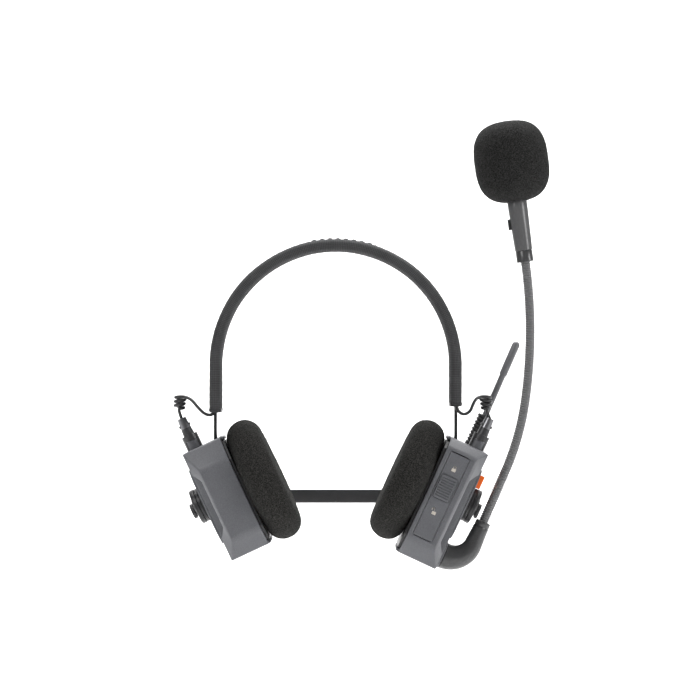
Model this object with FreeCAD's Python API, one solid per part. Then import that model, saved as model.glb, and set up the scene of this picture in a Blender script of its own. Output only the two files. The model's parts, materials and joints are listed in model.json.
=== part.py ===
import FreeCAD, Part
import math
import os

# Two-ear wireless headset with a boom microphone.
# Millimetres. +Z up, the wearer faces -Y, +X is the side that carries the boom.
# Origin: underside of the headband at its highest point, where it rests on the crown.

V = FreeCAD.Vector
NODES = {}

# ---- headband -------------------------------------------------------------
BAND_INNER_R = 62.35
BAND_THICK = 6.9
BAND_WIDTH = 24.0
BAND_CORNER = 2.4
ARCH_Z = -BAND_INNER_R
BAND_MID = BAND_INNER_R + BAND_THICK / 2
BAND_END = {-1: -88.1, 1: -84.8}
CAP_THICK = 2.0
SPRING_INNER_R = 63.4
SPRING_THICK = 0.8
SPRING_WIDTH = 12.0
WIRE_D = 1.8
WIRE_Y = -8.0
WIRE_START = 9.0

# ---- sliding strips and their guides --------------------------------------
STRIP_X = 66.0
STRIP_THICK = 1.6
STRIP_WIDTH = 9.0
STRIP_TOP = -62.0
SLIDE_GAP = 0.1
GUIDE_WALL = 0.8
GUIDE_TOP = -52.5
PIVOT_Z = -110.0
EYE_R = 2.4
PIN_R = 1.0
PIN_HALF = 7.4
RUN_GAP = 0.06

# ---- ear cups, in the cup's own axes: x outwards, y back, z up the cup ----
TILT = 25.0
CUP_X = 39.4
CUP_Z = -125.1
PAD_R = 35.0
PAD_HALF = 9.7
SHELL_IN = 11.4
SHELL_OUT = 33.5
SHELL_HALF_WIDTH = 27.0
SHELL_TOP = 31.4
SHELL_BOTTOM = {-1: -32.2, 1: -37.2}
CREASE_TOP = {-1: 19.4, 1: 26.0}
CREASE_BOTTOM = {-1: -22.0, 1: -27.0}
END_HALF_WIDTH = 20.0
WALL = 1.8
CHAMFER_X = 5.3
CHAMFER_Y = 7.0
LIP_X = 9.75
LIP_DEPTH = 2.0
LIP_HALF = 15.0
PLATE_OUT = 34.7
HUB_Z = 1.7
HUB_R = 9.8
FLANGE_OUT = 35.9
ARM_EYE_R = 9.5
DISC_OUT = 40.6
BOSS_OUT = 41.4
CAP_IN, CAP_OUT = 41.6, 43.4
CAP_R = 4.2
CAP_DROP = 1.3
HUB_BORE = 1.6
NECK_THICK = 1.8
NECK_HEIGHT = 7.8
NECK_RING_X = 36.0
JACK_X = 27.0
JACK_R = 4.5
JACK_TOP = 36.1
PLUG_SHOULDER = 39.5
NUB_REACH = 3.3
NUB_Z = 44.4
PLUG_TOP = 49.6
ANTENNA_X = 25.1
ANTENNA_Y = 11.0
ANTENNA_LEAN = -1.45
DOOR_X = (13.9, 25.2)
DOOR_Z = (-24.7, 24.8)
DOOR_THICK = 2.0
DOOR_GAP = 0.2
LATCH_X = 19.5
LATCH_Z = 5.3
LATCH_TRAVEL = 4.0
BUTTON_Z = 15.4
BUTTON_IN, BUTTON_OUT = 32.3, 38.0
BUTTON_HALF_Y, BUTTON_HALF_Z = 4.5, 3.8
BUTTON_GAP = 0.2
BOOM_Z = -29.5
BOOM_R = 7.35
BOOM_FACE = 35.6

# ---- neckband --------------------------------------------------------------
NECK_BACK = 84.0
NECK_CORNER = 40.0
NECK_ARM_END = 34.0

# ---- boom, gooseneck and microphone, in the row's XZ plane -----------------
GOOSE_R = 2.75
GOOSE_START_ANGLE = 23.5
GOOSE_RUN = 30.0
GOOSE_LOWER_R = 150.0
GOOSE_MID_ANGLE = 8.0
GOOSE_UPPER_R = 275.3
MIC_ANGLE = -7.9
COLLAR_LENGTH = 6.3
HOLDER_LENGTH = 28.0
SCREEN_R = 20.6
SCREEN_HALF = 22.5
SCREEN_CENTRE = 49.4
SCREEN_POWER = 2.7


# ---- small helpers ----------------------------------------------------------
def box(x, y, z):
    """A box from three (low, high) pairs."""
    return Part.makeBox(x[1] - x[0], y[1] - y[0], z[1] - z[0], V(x[0], y[0], z[0]))


def rod(radius, start, end):
    """A round bar between two points."""
    along = end - start
    return Part.makeCylinder(radius, along.Length, start, along)


def taper(radius_a, radius_b, start, end):
    """A cone frustum between two points."""
    along = end - start
    return Part.makeCone(radius_a, radius_b, along.Length, start, along)


def x_rod(radius, x0, x1, y=0.0, z=0.0):
    """A round bar along x."""
    return rod(radius, V(x0, y, z), V(x1, y, z))


def x_ring(outer, inner, x0, x1, y=0.0, z=0.0):
    """A flat ring whose axis is x."""
    return x_rod(outer, x0, x1, y, z).cut(x_rod(inner, x0 - 1, x1 + 1, y, z))


def joined(*shapes):
    """One solid from several that touch."""
    whole = shapes[0].multiFuse(list(shapes[1:]))
    return whole.removeSplitter()


def rounded_wire(points, radii):
    """A closed outline whose corners are arcs of the given radii."""
    edges = []
    ends = []
    count = len(points)
    for i, corner in enumerate(points):
        back = (points[i - 1] - corner).normalize()
        ahead = (points[(i + 1) % count] - corner).normalize()
        half = back.getAngle(ahead) / 2
        reach = radii[i] / math.tan(half)
        first = corner + back * reach
        last = corner + ahead * reach
        middle = (back + ahead).normalize()
        centre = corner + middle * (radii[i] / math.sin(half))
        edges.append(Part.Arc(first, centre - middle * radii[i], last).toShape())
        ends.append((first, last))
    for i in range(count):
        edges.append(Part.LineSegment(ends[i - 1][1], ends[i][0]).toShape())
    return Part.Wire(Part.__sortEdges__(edges))


def rounded_box(x, y, z, radius):
    """A box with its four long edges along x rounded."""
    corners = [V(x[0], y[0], z[0]), V(x[0], y[1], z[0]), V(x[0], y[1], z[1]), V(x[0], y[0], z[1])]
    return Part.Face(rounded_wire(corners, [radius] * 4)).extrude(V(x[1] - x[0], 0, 0))


def keep(name, shape):
    """Remember a node's shape, in the row's frame."""
    NODES[name] = shape


# ---- free cords ---------------------------------------------------------------
def cord_wire(points, name):
    """Straight runs joined by tangent arcs, each as large as its two runs allow."""
    edges = []
    here = points[0]
    radii = []
    for before, corner, after in zip(points, points[1:], points[2:]):
        back = before - corner
        ahead = after - corner
        turn = math.pi - back.getAngle(ahead)
        reach = 0.45 * min(back.Length, ahead.Length)
        radius = reach / math.tan(turn / 2)
        radii.append(round(radius, 1))
        first = corner + back.normalize() * reach
        last = corner + ahead.normalize() * reach
        inward = (back + ahead).normalize()
        middle = corner + inward * (radius / math.cos(turn / 2) - radius)
        edges.append(Part.LineSegment(here, first).toShape())
        edges.append(Part.Arc(first, middle, last).toShape())
        here = last
    edges.append(Part.LineSegment(here, points[-1]).toShape())
    wire = Part.Wire(edges)
    print(f"{name}: length {wire.Length:.1f} mm, arc radii {radii}")
    return wire


def swept_round(wire, radius):
    """A solid round bar along a wire."""
    start = wire.Edges[0]
    point = start.valueAt(start.FirstParameter)
    heading = start.tangentAt(start.FirstParameter)
    ring = Part.Wire(Part.makeCircle(radius, point, heading))
    return wire.makePipeShell([ring], True, False)


def cord(points, diameter, name):
    wire = cord_wire(points, name)
    solid = swept_round(wire, diameter / 2)
    expected = math.pi * diameter**2 / 4 * wire.Length
    print(f"{name}: volume {solid.Volume:.1f}, section times length {expected:.1f}")
    return solid


# ---- headband -------------------------------------------------------------------
def arch(section, side_ends):
    """A section face at the arch's right springing, taken round the arch and down both legs."""
    centre = V(0, 0, ARCH_Z)
    over = section.revolve(centre, V(0, -1, 0), 180)
    legs = []
    for side, end in side_ends.items():
        face = section if side > 0 else section.mirror(centre, V(1, 0, 0))
        legs.append(face.extrude(V(0, 0, end - ARCH_Z)))
    return joined(over, *legs)


def flat_section(inner, thick, half_width, corner):
    """A rounded rectangle in the plane of the arch's springing."""
    low = V(inner, -half_width, ARCH_Z)
    points = [low, low + V(thick, 0, 0), V(inner + thick, half_width, ARCH_Z), V(inner, half_width, ARCH_Z)]
    return Part.Face(rounded_wire(points, [corner] * 4))


def wire_section(radius):
    return Part.Face(Part.Wire(Part.makeCircle(radius, V(BAND_MID, WIRE_Y, ARCH_Z), V(0, 0, 1))))


def guide_body(side, grow=0.0):
    """The block of a strip's guide, or the room it needs in the pad."""
    half = STRIP_THICK / 2 + SLIDE_GAP + GUIDE_WALL + grow
    wide = STRIP_WIDTH / 2 + SLIDE_GAP + GUIDE_WALL + grow
    middle = side * STRIP_X
    low = BAND_END[side] + CAP_THICK
    return box((middle - half, middle + half), (-wide, wide), (low, GUIDE_TOP + grow))


def strip_room(side, low, high):
    """The slot that a strip slides in."""
    half = STRIP_THICK / 2 + SLIDE_GAP
    wide = STRIP_WIDTH / 2 + SLIDE_GAP
    return box((side * STRIP_X - half, side * STRIP_X + half), (-wide, wide), (low, high))


def build_headband():
    pad_ends = {side: BAND_END[side] + CAP_THICK for side in (-1, 1)}
    band = flat_section(BAND_INNER_R, BAND_THICK, BAND_WIDTH / 2, BAND_CORNER)
    spring = flat_section(SPRING_INNER_R, SPRING_THICK, SPRING_WIDTH / 2, 0.3)
    spring_room = flat_section(SPRING_INNER_R - 0.1, SPRING_THICK + 0.2, SPRING_WIDTH / 2 + 0.1, 0.3)
    wire_ends = {side: BAND_END[side] + WIRE_START for side in (-1, 1)}
    pad = arch(band, pad_ends)
    pad = pad.cut(arch(spring_room, pad_ends))
    pad = pad.cut(arch(wire_section(WIRE_D / 2 + 0.2), pad_ends))
    for side in (-1, 1):
        pad = pad.cut(guide_body(side, 0.05))
    keep("headband_pad", pad)
    keep("headband_spring", arch(spring, pad_ends))
    keep("headband_wire", arch(wire_section(WIRE_D / 2), wire_ends))
    for side, word in ((-1, "left"), (1, "right")):
        face = band if side > 0 else band.mirror(V(0, 0, 0), V(1, 0, 0))
        face = face.translated(V(0, 0, BAND_END[side] - ARCH_Z))
        cap = face.extrude(V(0, 0, CAP_THICK))
        rim = [e for e in cap.Edges if e.BoundBox.ZMax < BAND_END[side] + 0.01]
        cap = cap.makeFillet(1.2, rim)
        low = BAND_END[side] - 1
        cap = cap.cut(strip_room(side, low, low + 4))
        hole = V(side * BAND_MID, WIRE_Y, low)
        cap = cap.cut(rod(WIRE_D / 2 + 0.1, hole, hole + V(0, 0, 4)))
        keep(f"end_cap_{word}", cap)
        guide = guide_body(side).cut(strip_room(side, low, GUIDE_TOP - GUIDE_WALL))
        keep(f"strip_guide_{word}", guide)


# ---- yoke: the two sliding strips, their pins and the neckband ---------------------
def build_yoke():
    for side, word in ((-1, "left"), (1, "right")):
        x = side * STRIP_X
        half = STRIP_THICK / 2
        wide = (-STRIP_WIDTH / 2, STRIP_WIDTH / 2)
        flat = rounded_box((x - half, x + half), wide, (PIVOT_Z, STRIP_TOP), 0.6)
        eye = rod(EYE_R, V(x, -STRIP_WIDTH / 2, PIVOT_Z), V(x, STRIP_WIDTH / 2, PIVOT_Z))
        bore = rod(PIN_R, V(x, -STRIP_WIDTH, PIVOT_Z), V(x, STRIP_WIDTH, PIVOT_Z))
        keep(f"spring_strip_{word}", joined(flat, eye).cut(bore))
        keep(f"pivot_pin_{word}", rod(PIN_R, V(x, -PIN_HALF, PIVOT_Z), V(x, PIN_HALF, PIVOT_Z)))
    arm = cup_place(V(NECK_RING_X + NECK_THICK / 2, 0, HUB_Z), 1)
    outer = arm.x + NECK_THICK / 2
    inner = arm.x - NECK_THICK / 2
    start = NECK_ARM_END + 0.8
    half = NECK_HEIGHT / 2
    low = arm.z - half
    outline = []
    for x, inset in ((outer, 0), (inner, NECK_THICK)):
        back, corner = NECK_BACK - inset, NECK_CORNER - inset
        bend = V(x - corner, back - corner, low)
        corner_mid = bend + V(corner, corner, 0) * math.sqrt(0.5)
        left = [V(-p.x, p.y, p.z) for p in (bend + V(corner, 0, 0), corner_mid, bend + V(0, corner, 0))]
        outline.append(
            [
                Part.LineSegment(V(x, start, low), V(x, back - corner, low)).toShape(),
                Part.Arc(V(x, back - corner, low), corner_mid, V(x - corner, back, low)).toShape(),
                Part.LineSegment(V(x - corner, back, low), V(corner - x, back, low)).toShape(),
                Part.Arc(left[2], left[1], left[0]).toShape(),
                Part.LineSegment(left[0], V(-x, start, low)).toShape(),
            ]
        )
    ends = [Part.LineSegment(V(s * inner, start, low), V(s * outer, start, low)).toShape() for s in (-1, 1)]
    band = Part.Face(Part.Wire(Part.__sortEdges__(outline[0] + outline[1] + ends)))
    keep("neckband", band.extrude(V(0, 0, NECK_HEIGHT)))


# ---- ear cups --------------------------------------------------------------------
def cup_place(shape, side):
    """Move a shape or a point from a cup's own axes to the row's frame."""
    turn = FreeCAD.Rotation(V(0, 1, 0), TILT)
    place = FreeCAD.Placement(V(CUP_X, 0, CUP_Z), turn)
    if isinstance(shape, FreeCAD.Vector):
        point = place.multVec(shape)
        return V(side * point.x, point.y, point.z)
    moved = shape.copy()
    moved.Placement = place.multiply(moved.Placement)
    if side < 0:
        moved = moved.mirror(V(0, 0, 0), V(1, 0, 0))
    return moved


def keep_on_cup(name, shape, side):
    keep(name, cup_place(shape, side))


def cup_outline(side, x, inset):
    """The eight-sided outline of a housing seen from outside, in from its faces by inset."""
    top, bottom = SHELL_TOP, SHELL_BOTTOM[side]
    high, low = CREASE_TOP[side], CREASE_BOTTOM[side]
    wide, end = SHELL_HALF_WIDTH, END_HALF_WIDTH
    points = [
        V(x, -wide, high),
        V(x, -end, top),
        V(x, end, top),
        V(x, wide, high),
        V(x, wide, low),
        V(x, end, bottom),
        V(x, -end, bottom),
        V(x, -wide, low),
    ]
    wire = rounded_wire(points, [3.5, 2.2, 2.2, 3.5, 3.5, 2.2, 2.2, 3.5])
    if inset:
        wire = wire.makeOffset2D(-inset)
    return wire


def chamfer_wedges(inset):
    """What the two long slanting faces take off the block, or off the hollow inside it."""
    length = math.hypot(CHAMFER_X, CHAMFER_Y)
    wedges = []
    for front in (-1, 1):
        x = SHELL_OUT - CHAMFER_X - inset * CHAMFER_Y / length
        y = front * (SHELL_HALF_WIDTH - inset * CHAMFER_X / length)
        reach = 3.0
        a = V(x - reach * CHAMFER_X, y + front * reach * CHAMFER_Y, -60)
        b = V(x + reach * CHAMFER_X, y - front * reach * CHAMFER_Y, -60)
        c = V(x + reach * CHAMFER_X, y + front * reach * CHAMFER_Y, -60)
        wedges.append(Part.Face(Part.makePolygon([a, b, c, a])).extrude(V(0, 0, 120)))
    return wedges


def shell_block(side, x0, x1, inset):
    """A housing's block, or the hollow inside it."""
    block = Part.Face(cup_outline(side, x0, inset)).extrude(V(x1 - x0, 0, 0))
    for wedge in chamfer_wedges(inset):
        block = block.cut(wedge)
    return block


def screw_places(side):
    return [(y, z) for y in (-15.0, 15.0) for z in (-26.0, 26.0)]


def pivot_local():
    """The tilt pin's place in a cup's own axes."""
    turn = FreeCAD.Rotation(V(0, 1, 0), -TILT)
    return turn.multVec(V(STRIP_X - CUP_X, 0, PIVOT_Z - CUP_Z))


def build_housing(side, word):
    shell = shell_block(side, SHELL_IN, SHELL_OUT, 0)
    if side > 0:
        shell = joined(shell, x_rod(BOOM_R + 0.3, 27.0, BOOM_FACE - 0.1, 0, BOOM_Z))
    shell = shell.cut(shell_block(side, SHELL_IN - 1, SHELL_OUT - WALL, WALL))
    pivot = pivot_local()
    added = []
    top, bottom = SHELL_TOP, SHELL_BOTTOM[side]
    added.append(box((LIP_X, SHELL_IN + 1), (-LIP_HALF, LIP_HALF), (top - LIP_DEPTH, top)))
    added.append(box((LIP_X, SHELL_IN + 1), (-LIP_HALF, LIP_HALF), (bottom, bottom + LIP_DEPTH)))
    for y, z in screw_places(side):
        added.append(x_rod(2.4, SHELL_IN + 0.1, SHELL_OUT - WALL + 0.2, y, z))
    for front in (-1, 1):
        lug = sorted((front * 4.8, front * 7.3))
        added.append(box((pivot.x - 2.2, pivot.x + 2.2), lug, (pivot.z, top - WALL + 0.2)))
        face = V(pivot.x, lug[0], pivot.z)
        added.append(rod(2.2, face, face + V(0, lug[1] - lug[0], 0)))
    added.append(x_rod(3.5, 27.0, SHELL_OUT - WALL + 0.2, 0, HUB_Z))
    shell = joined(shell, *added)
    holes = [rod(PIN_R + RUN_GAP, V(pivot.x, -8, pivot.z), V(pivot.x, 8, pivot.z))]
    slot_reach = (top - pivot.z) * math.tan(math.radians(TILT + 6))
    slot = (pivot.x - slot_reach - 1.6, pivot.x + 1.6)
    holes.append(box(slot, (-4.75, 4.75), (top - WALL - 0.5, top + 1)))
    holes.append(x_rod(1.5, 27.0 - 1, SHELL_OUT + 1, 0, HUB_Z))
    holes.append(rod(3.6, V(JACK_X, 0, top - 4), V(JACK_X, 0, top + 1)))
    for y, z in screw_places(side):
        holes.append(x_rod(0.9, SHELL_IN - 1, 22.0, y, z))
    if side > 0:
        holes.append(rod(2.6, V(ANTENNA_X, ANTENNA_Y, top - 4), V(ANTENNA_X, ANTENNA_Y, top + 1)))
        holes.append(box(DOOR_X, (-30, -20), DOOR_Z))
        pin_y, pin_z = door_axis()
        holes.append(x_rod(0.5, DOOR_X[0] - 1.6, DOOR_X[1] + 1.6, pin_y, pin_z))
        holes.append(x_rod(5.5, 26.0, BOOM_FACE + 1, 0, BOOM_Z))
        holes.append(button_window(SHELL_OUT - 3, SHELL_OUT + 1))
    for hole in holes:
        shell = shell.cut(hole)
    keep_on_cup(f"housing_{word}", shell, side)


def build_baffle(side, word):
    wire = cup_outline(side, 9.9, 2.7)
    plate = Part.Face(wire).extrude(V(SHELL_IN - 9.9, 0, 0))
    plate = plate.cut(x_rod(8.6, 9, 12))
    for y, z in screw_places(side):
        plate = plate.cut(x_rod(1.1, 9, 12, y, z))
        plate = plate.cut(x_rod(2.1, 9, 10.7, y, z))
    keep_on_cup(f"baffle_{word}", plate, side)
    screws = []
    for y, z in screw_places(side):
        screw = joined(x_rod(2.0, 10.0, 10.7, y, z), x_rod(0.9, 10.6, 19.0, y, z))
        drive = box((9.9, 10.3), (y - 1.3, y + 1.3), (z - 0.25, z + 0.25))
        screws.append(screw.cut(drive))
    keep_on_cup(f"baffle_screws_{word}", Part.makeCompound(screws), side)


def build_pad(side, word):
    """A foam disc with a fully rounded rim and a pocket for the speaker."""
    middle = PAD_R - PAD_HALF
    back, front = V(PAD_HALF, 0, 0), V(-PAD_HALF, 0, 0)
    edges = [
        Part.LineSegment(front, V(-PAD_HALF, 0, middle)).toShape(),
        Part.Arc(V(-PAD_HALF, 0, middle), V(0, 0, PAD_R), V(PAD_HALF, 0, middle)).toShape(),
        Part.LineSegment(V(PAD_HALF, 0, middle), back).toShape(),
        Part.LineSegment(back, front).toShape(),
    ]
    pad = Part.Face(Part.Wire(edges)).revolve(V(0, 0, 0), V(1, 0, 0), 360)
    pad = pad.cut(x_rod(20.6, 3.4, PAD_HALF + 1))
    keep_on_cup(f"ear_pad_{word}", pad, side)
    basket = joined(x_ring(20.4, 17.5, 4.0, 9.9), x_rod(17.6, 5.2, 9.0), x_rod(8.3, 8.9, 13.6))
    keep_on_cup(f"speaker_{word}", basket, side)
    board = box((14.0, 15.2), (-21.0, 21.0), (-20.0, 18.0))
    chips = [
        box((13.2, 14.0), (-16.0, -10.0), (6.0, 13.0)),
        box((13.2, 14.0), (10.0, 17.0), (-14.0, -5.0)),
        box((13.4, 14.0), (-16.0, -11.0), (-15.0, -11.0)),
    ]
    keep_on_cup(f"circuit_board_{word}", joined(board, *chips), side)


def build_hub(side, word):
    """Outer plate, hub stack and the neckband's arm, which the hub screw clamps."""
    corners = [(-13, 22), (13, 22), (19, 15), (19, -15), (13, -22), (-13, -22), (-19, -15), (-19, 15)]
    if side > 0:
        corners = [(y, max(z, -19.0)) for y, z in corners]
    points = [V(SHELL_OUT, y, z) for y, z in corners]
    plate = Part.Face(rounded_wire(points, [2.0] * 8)).extrude(V(PLATE_OUT - SHELL_OUT, 0, 0))
    plate = plate.cut(x_rod(HUB_BORE, SHELL_OUT - 1, PLATE_OUT + 1, 0, HUB_Z))
    if side > 0:
        plate = plate.cut(button_window(SHELL_OUT - 1, PLATE_OUT + 1))
    keep_on_cup(f"outer_plate_{word}", plate, side)
    keep_on_cup(f"hub_flange_{word}", x_ring(HUB_R, HUB_BORE, PLATE_OUT, FLANGE_OUT, 0, HUB_Z), side)
    ring_out = NECK_RING_X + NECK_THICK
    eye = x_rod(ARM_EYE_R, NECK_RING_X, ring_out, 0, HUB_Z)
    half = NECK_HEIGHT / 2
    arm = box((NECK_RING_X, ring_out), (0, NECK_ARM_END), (HUB_Z - half, HUB_Z + half))
    arm = joined(eye, arm).cut(x_rod(2.6, NECK_RING_X - 1, ring_out + 1, 0, HUB_Z))
    keep_on_cup(f"neck_arm_{word}", arm, side)
    disc_in = ring_out + 0.1
    disc = x_rod(HUB_R - 0.1, disc_in, DISC_OUT, 0, HUB_Z)
    boss = taper(CAP_R + 0.4, CAP_R, V(DISC_OUT, 0, HUB_Z), V(BOSS_OUT, 0, HUB_Z))
    collar = x_rod(2.5, FLANGE_OUT + 0.05, disc_in, 0, HUB_Z)
    disc = joined(disc, boss, collar)
    disc = disc.cut(x_rod(HUB_BORE, FLANGE_OUT, CAP_IN, 0, HUB_Z))
    keep_on_cup(f"hub_disc_{word}", disc, side)
    shank = x_rod(HUB_BORE - 0.1, 28.0, CAP_IN + 0.1, 0, HUB_Z)
    screw = joined(shank, x_rod(CAP_R, CAP_IN, CAP_OUT, 0, HUB_Z - CAP_DROP))
    keep_on_cup(f"hub_screw_{word}", screw, side)


def build_jack(side, word):
    """The socket on top of the housing and the plug that stands in it."""
    top = SHELL_TOP
    collar = rod(JACK_R, V(JACK_X, 0, top), V(JACK_X, 0, JACK_TOP))
    barrel = rod(3.5, V(JACK_X, 0, top - 8), V(JACK_X, 0, top))
    bore = rod(2.0, V(JACK_X, 0, top - 7), V(JACK_X, 0, JACK_TOP + 1))
    keep_on_cup(f"jack_socket_{word}", joined(collar, barrel).cut(bore), side)
    base, shoulder = V(JACK_X, 0, JACK_TOP), V(JACK_X, 0, PLUG_SHOULDER)
    skirt = taper(JACK_R - 0.1, JACK_R - 0.4, base, shoulder)
    boot = taper(3.2, 2.5, shoulder, V(JACK_X, 0, PLUG_TOP))
    pin = rod(1.9, V(JACK_X, 0, top - 6), base)
    nubs = box((JACK_X - NUB_REACH, JACK_X + NUB_REACH), (-1.4, 1.4), (NUB_Z, NUB_Z + 1.5))
    keep_on_cup(f"plug_{word}", joined(skirt, boot, pin, nubs), side)


# ---- what only the boom side carries --------------------------------------------
def door_axis():
    """The door's hinge line in the cup's own axes: its y and z."""
    half = DOOR_THICK / 2
    return -SHELL_HALF_WIDTH + half, DOOR_Z[0] + DOOR_GAP + half


def build_battery():
    x = (DOOR_X[0] + DOOR_GAP, DOOR_X[1] - DOOR_GAP)
    pin_y, pin_z = door_axis()
    front = -SHELL_HALF_WIDTH
    panel = box(x, (front, front + DOOR_THICK), (pin_z, DOOR_Z[1] - DOOR_GAP))
    knuckle = x_rod(DOOR_THICK / 2, x[0], x[1], pin_y, pin_z)
    door = joined(panel, knuckle)
    door = door.cut(x_rod(0.5 + 0.05, x[0] - 1, x[1] + 1, pin_y, pin_z))
    stem_z = (LATCH_Z - 2.0 - LATCH_TRAVEL - 0.2, LATCH_Z + 2.2)
    door = door.cut(box((LATCH_X - 2.2, LATCH_X + 2.2), (front - 1, front + 3), stem_z))
    tray = (LATCH_X - 4.7, LATCH_X + 4.7)
    tray_z = (LATCH_Z - 6.8 - LATCH_TRAVEL, LATCH_Z + 6.8)
    door = door.cut(box(tray, (front - 1, front + 0.5), tray_z))
    keep_on_cup("battery_door", door, 1)
    keep_on_cup("door_pin", x_rod(0.5, DOOR_X[0] - 1.5, DOOR_X[1] + 1.5, pin_y, pin_z), 1)
    face = (front - 0.8, front + 0.4)
    cap = box((LATCH_X - 4.5, LATCH_X + 4.5), face, (LATCH_Z - 6.6, LATCH_Z + 6.6))
    for i in range(7):
        z = LATCH_Z - 4.8 + 1.6 * i
        cap = cap.cut(box((LATCH_X - 3.9, LATCH_X + 3.9), (front - 1, front - 0.4), (z - 0.35, z + 0.35)))
    stem = box((LATCH_X - 2.0, LATCH_X + 2.0), (front + 0.3, front + 2.4), (LATCH_Z - 2.0, LATCH_Z + 2.0))
    tongue = box((LATCH_X - 3.0, LATCH_X + 3.0), (front + 2.15, front + 2.9), (LATCH_Z - 3.0, 24.0))
    keep_on_cup("latch_slider", joined(cap, stem, tongue), 1)
    battery = rounded_box((15.8, 25.4), (-23.6, 10.0), (-21.5, 21.5), 1.2)
    keep_on_cup("battery", battery, 1)
    contacts = [box((17.0 + 3 * i, 18.2 + 3 * i), (10.1, 13.0), (-12.0, -8.0)) for i in range(3)]
    board = NODES["circuit_board_right"]
    keep("circuit_board_right", Part.makeCompound([board] + [cup_place(c, 1) for c in contacts]))


def button_window(x0, x1):
    """The hole the button stands in, between two distances from the head."""
    y, z = BUTTON_HALF_Y + BUTTON_GAP, BUTTON_HALF_Z + BUTTON_GAP
    return box((x0, x1), (-y, y), (BUTTON_Z - z, BUTTON_Z + z))


def build_button():
    z = (BUTTON_Z - BUTTON_HALF_Z, BUTTON_Z + BUTTON_HALF_Z)
    cap = rounded_box((BUTTON_IN, BUTTON_OUT), (-BUTTON_HALF_Y, BUTTON_HALF_Y), z, 0.8)
    rim = [e for e in cap.Edges if e.BoundBox.XMin > BUTTON_OUT - 0.1]
    keep_on_cup("call_button", cap.makeFillet(0.5, rim), 1)
    keep_on_cup("button_switch", box((28.4, 31.3), (-3.0, 3.0), (BUTTON_Z - 3.0, BUTTON_Z + 3.0)), 1)


ROD_R, TIP_R = 1.75, 2.2


def build_antenna():
    """Ribbed boot, thin rod and thicker tip, leaning slightly in the cup's own plane."""
    lean = math.radians(ANTENNA_LEAN)
    foot = V(ANTENNA_X, ANTENNA_Y, SHELL_TOP)
    along = V(math.sin(lean), 0, math.cos(lean))

    def at(distance):
        return foot + along * distance

    boot = taper(4.4, 4.0, at(0.2), at(18.5))
    for i in range(8):
        ring = rod(5.0, at(2.0 + 2.0 * i), at(3.0 + 2.0 * i))
        boot = boot.cut(ring.cut(taper(4.0, 3.6, at(0), at(18.5))))
    boot = joined(boot, rod(2.5, V(ANTENNA_X, ANTENNA_Y, SHELL_TOP - 3.5), foot + along * 0.5))
    boot = boot.cut(rod(ROD_R, at(1), at(20)))
    keep_on_cup("antenna_boot", boot, 1)
    neck = taper(ROD_R, TIP_R, at(42.2), at(43))
    whip = joined(rod(ROD_R, at(1), at(42.2)), neck, rod(TIP_R, at(43), at(61)))
    tip = Part.makeSphere(TIP_R, at(61))
    keep_on_cup("antenna_rod", joined(whip, tip), 1)


def build_boom():
    """Shaft, elbow and the lower half of the gooseneck."""
    keep_on_cup("boom_bearing", x_ring(5.5, 4.05, 27.0, BOOM_FACE - 0.1, 0, BOOM_Z), 1)
    bend_r = 12.3
    centre = V(BOOM_FACE - 0.1, 0, BOOM_Z + bend_r)
    rings = []
    for step in range(7):
        angle = math.radians(15 * step)
        point = centre + V(bend_r * math.sin(angle), 0, -bend_r * math.cos(angle))
        heading = V(math.cos(angle), 0, math.sin(angle))
        radius = BOOM_R - 2.3 * (step / 6) ** 1.3
        rings.append(Part.Wire(Part.makeCircle(radius, point, heading)))
    last = centre + V(bend_r, 0, 0)
    for rise, radius in ((5.0, 4.7), (10.0, 4.35), (13.9, 4.1)):
        rings.append(Part.Wire(Part.makeCircle(radius, last + V(0, 0, rise), V(0, 0, 1))))
    elbow = Part.makeLoft(rings, True)
    gap = box((BOOM_FACE - 2, BOOM_FACE), (-9, 9), (BOOM_Z - 9, BOOM_Z + 9))
    elbow = joined(elbow.cut(gap), x_rod(4.0, 26.4, BOOM_FACE + 1, 0, BOOM_Z))
    socket = last + V(0, 0, 13.9 - 5)
    elbow = elbow.cut(rod(GOOSE_R, socket, last + V(0, 0, 20)))
    keep_on_cup("boom_elbow", elbow, 1)
    keep_on_cup("boom_clip", x_ring(5.2, 4.0, 26.4, 26.9, 0, BOOM_Z), 1)
    return cup_place(socket, 1), cup_place(last + V(0, 0, 13.9), 1)


def walk(point, angle, run):
    """The point a run further on, at an angle from straight up towards +X."""
    lean = math.radians(angle)
    return point + V(math.sin(lean), 0, math.cos(lean)) * run


def bend(point, angle, end_angle, radius):
    """An arc that starts at a point and turns from one heading to another, inwards."""
    centre = walk(point, angle - 90, radius)
    middle = walk(centre, (angle + end_angle) / 2 + 90, radius)
    end = walk(centre, end_angle + 90, radius)
    return Part.Arc(point, middle, end).toShape(), end


def build_gooseneck(socket, mouth):
    """Both halves of the gooseneck. They part in a ball end with room to bend."""
    start = walk(mouth, GOOSE_START_ANGLE, GOOSE_RUN)
    straight = Part.LineSegment(mouth, start).toShape()
    arc, joint = bend(start, GOOSE_START_ANGLE, GOOSE_MID_ANGLE, GOOSE_LOWER_R)
    lower = swept_round(Part.Wire([straight, arc]), GOOSE_R)
    root = rod(GOOSE_R, socket, mouth)
    ball_room = Part.makeSphere(GOOSE_R + 0.6, joint)
    ball = Part.makeSphere(GOOSE_R, joint)
    lower = joined(root, Part.makeSphere(GOOSE_R, mouth), lower).cut(ball_room)
    keep("gooseneck_lower", lower)
    arc, end = bend(joint, GOOSE_MID_ANGLE, MIC_ANGLE, GOOSE_UPPER_R)
    upper = joined(swept_round(Part.Wire([arc]), GOOSE_R), ball)
    keep("gooseneck_upper", upper)
    print(f"gooseneck joint at x {joint.x:.2f}, z {joint.z:.2f}; end at x {end.x:.2f}, z {end.z:.2f}")
    return end


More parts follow.
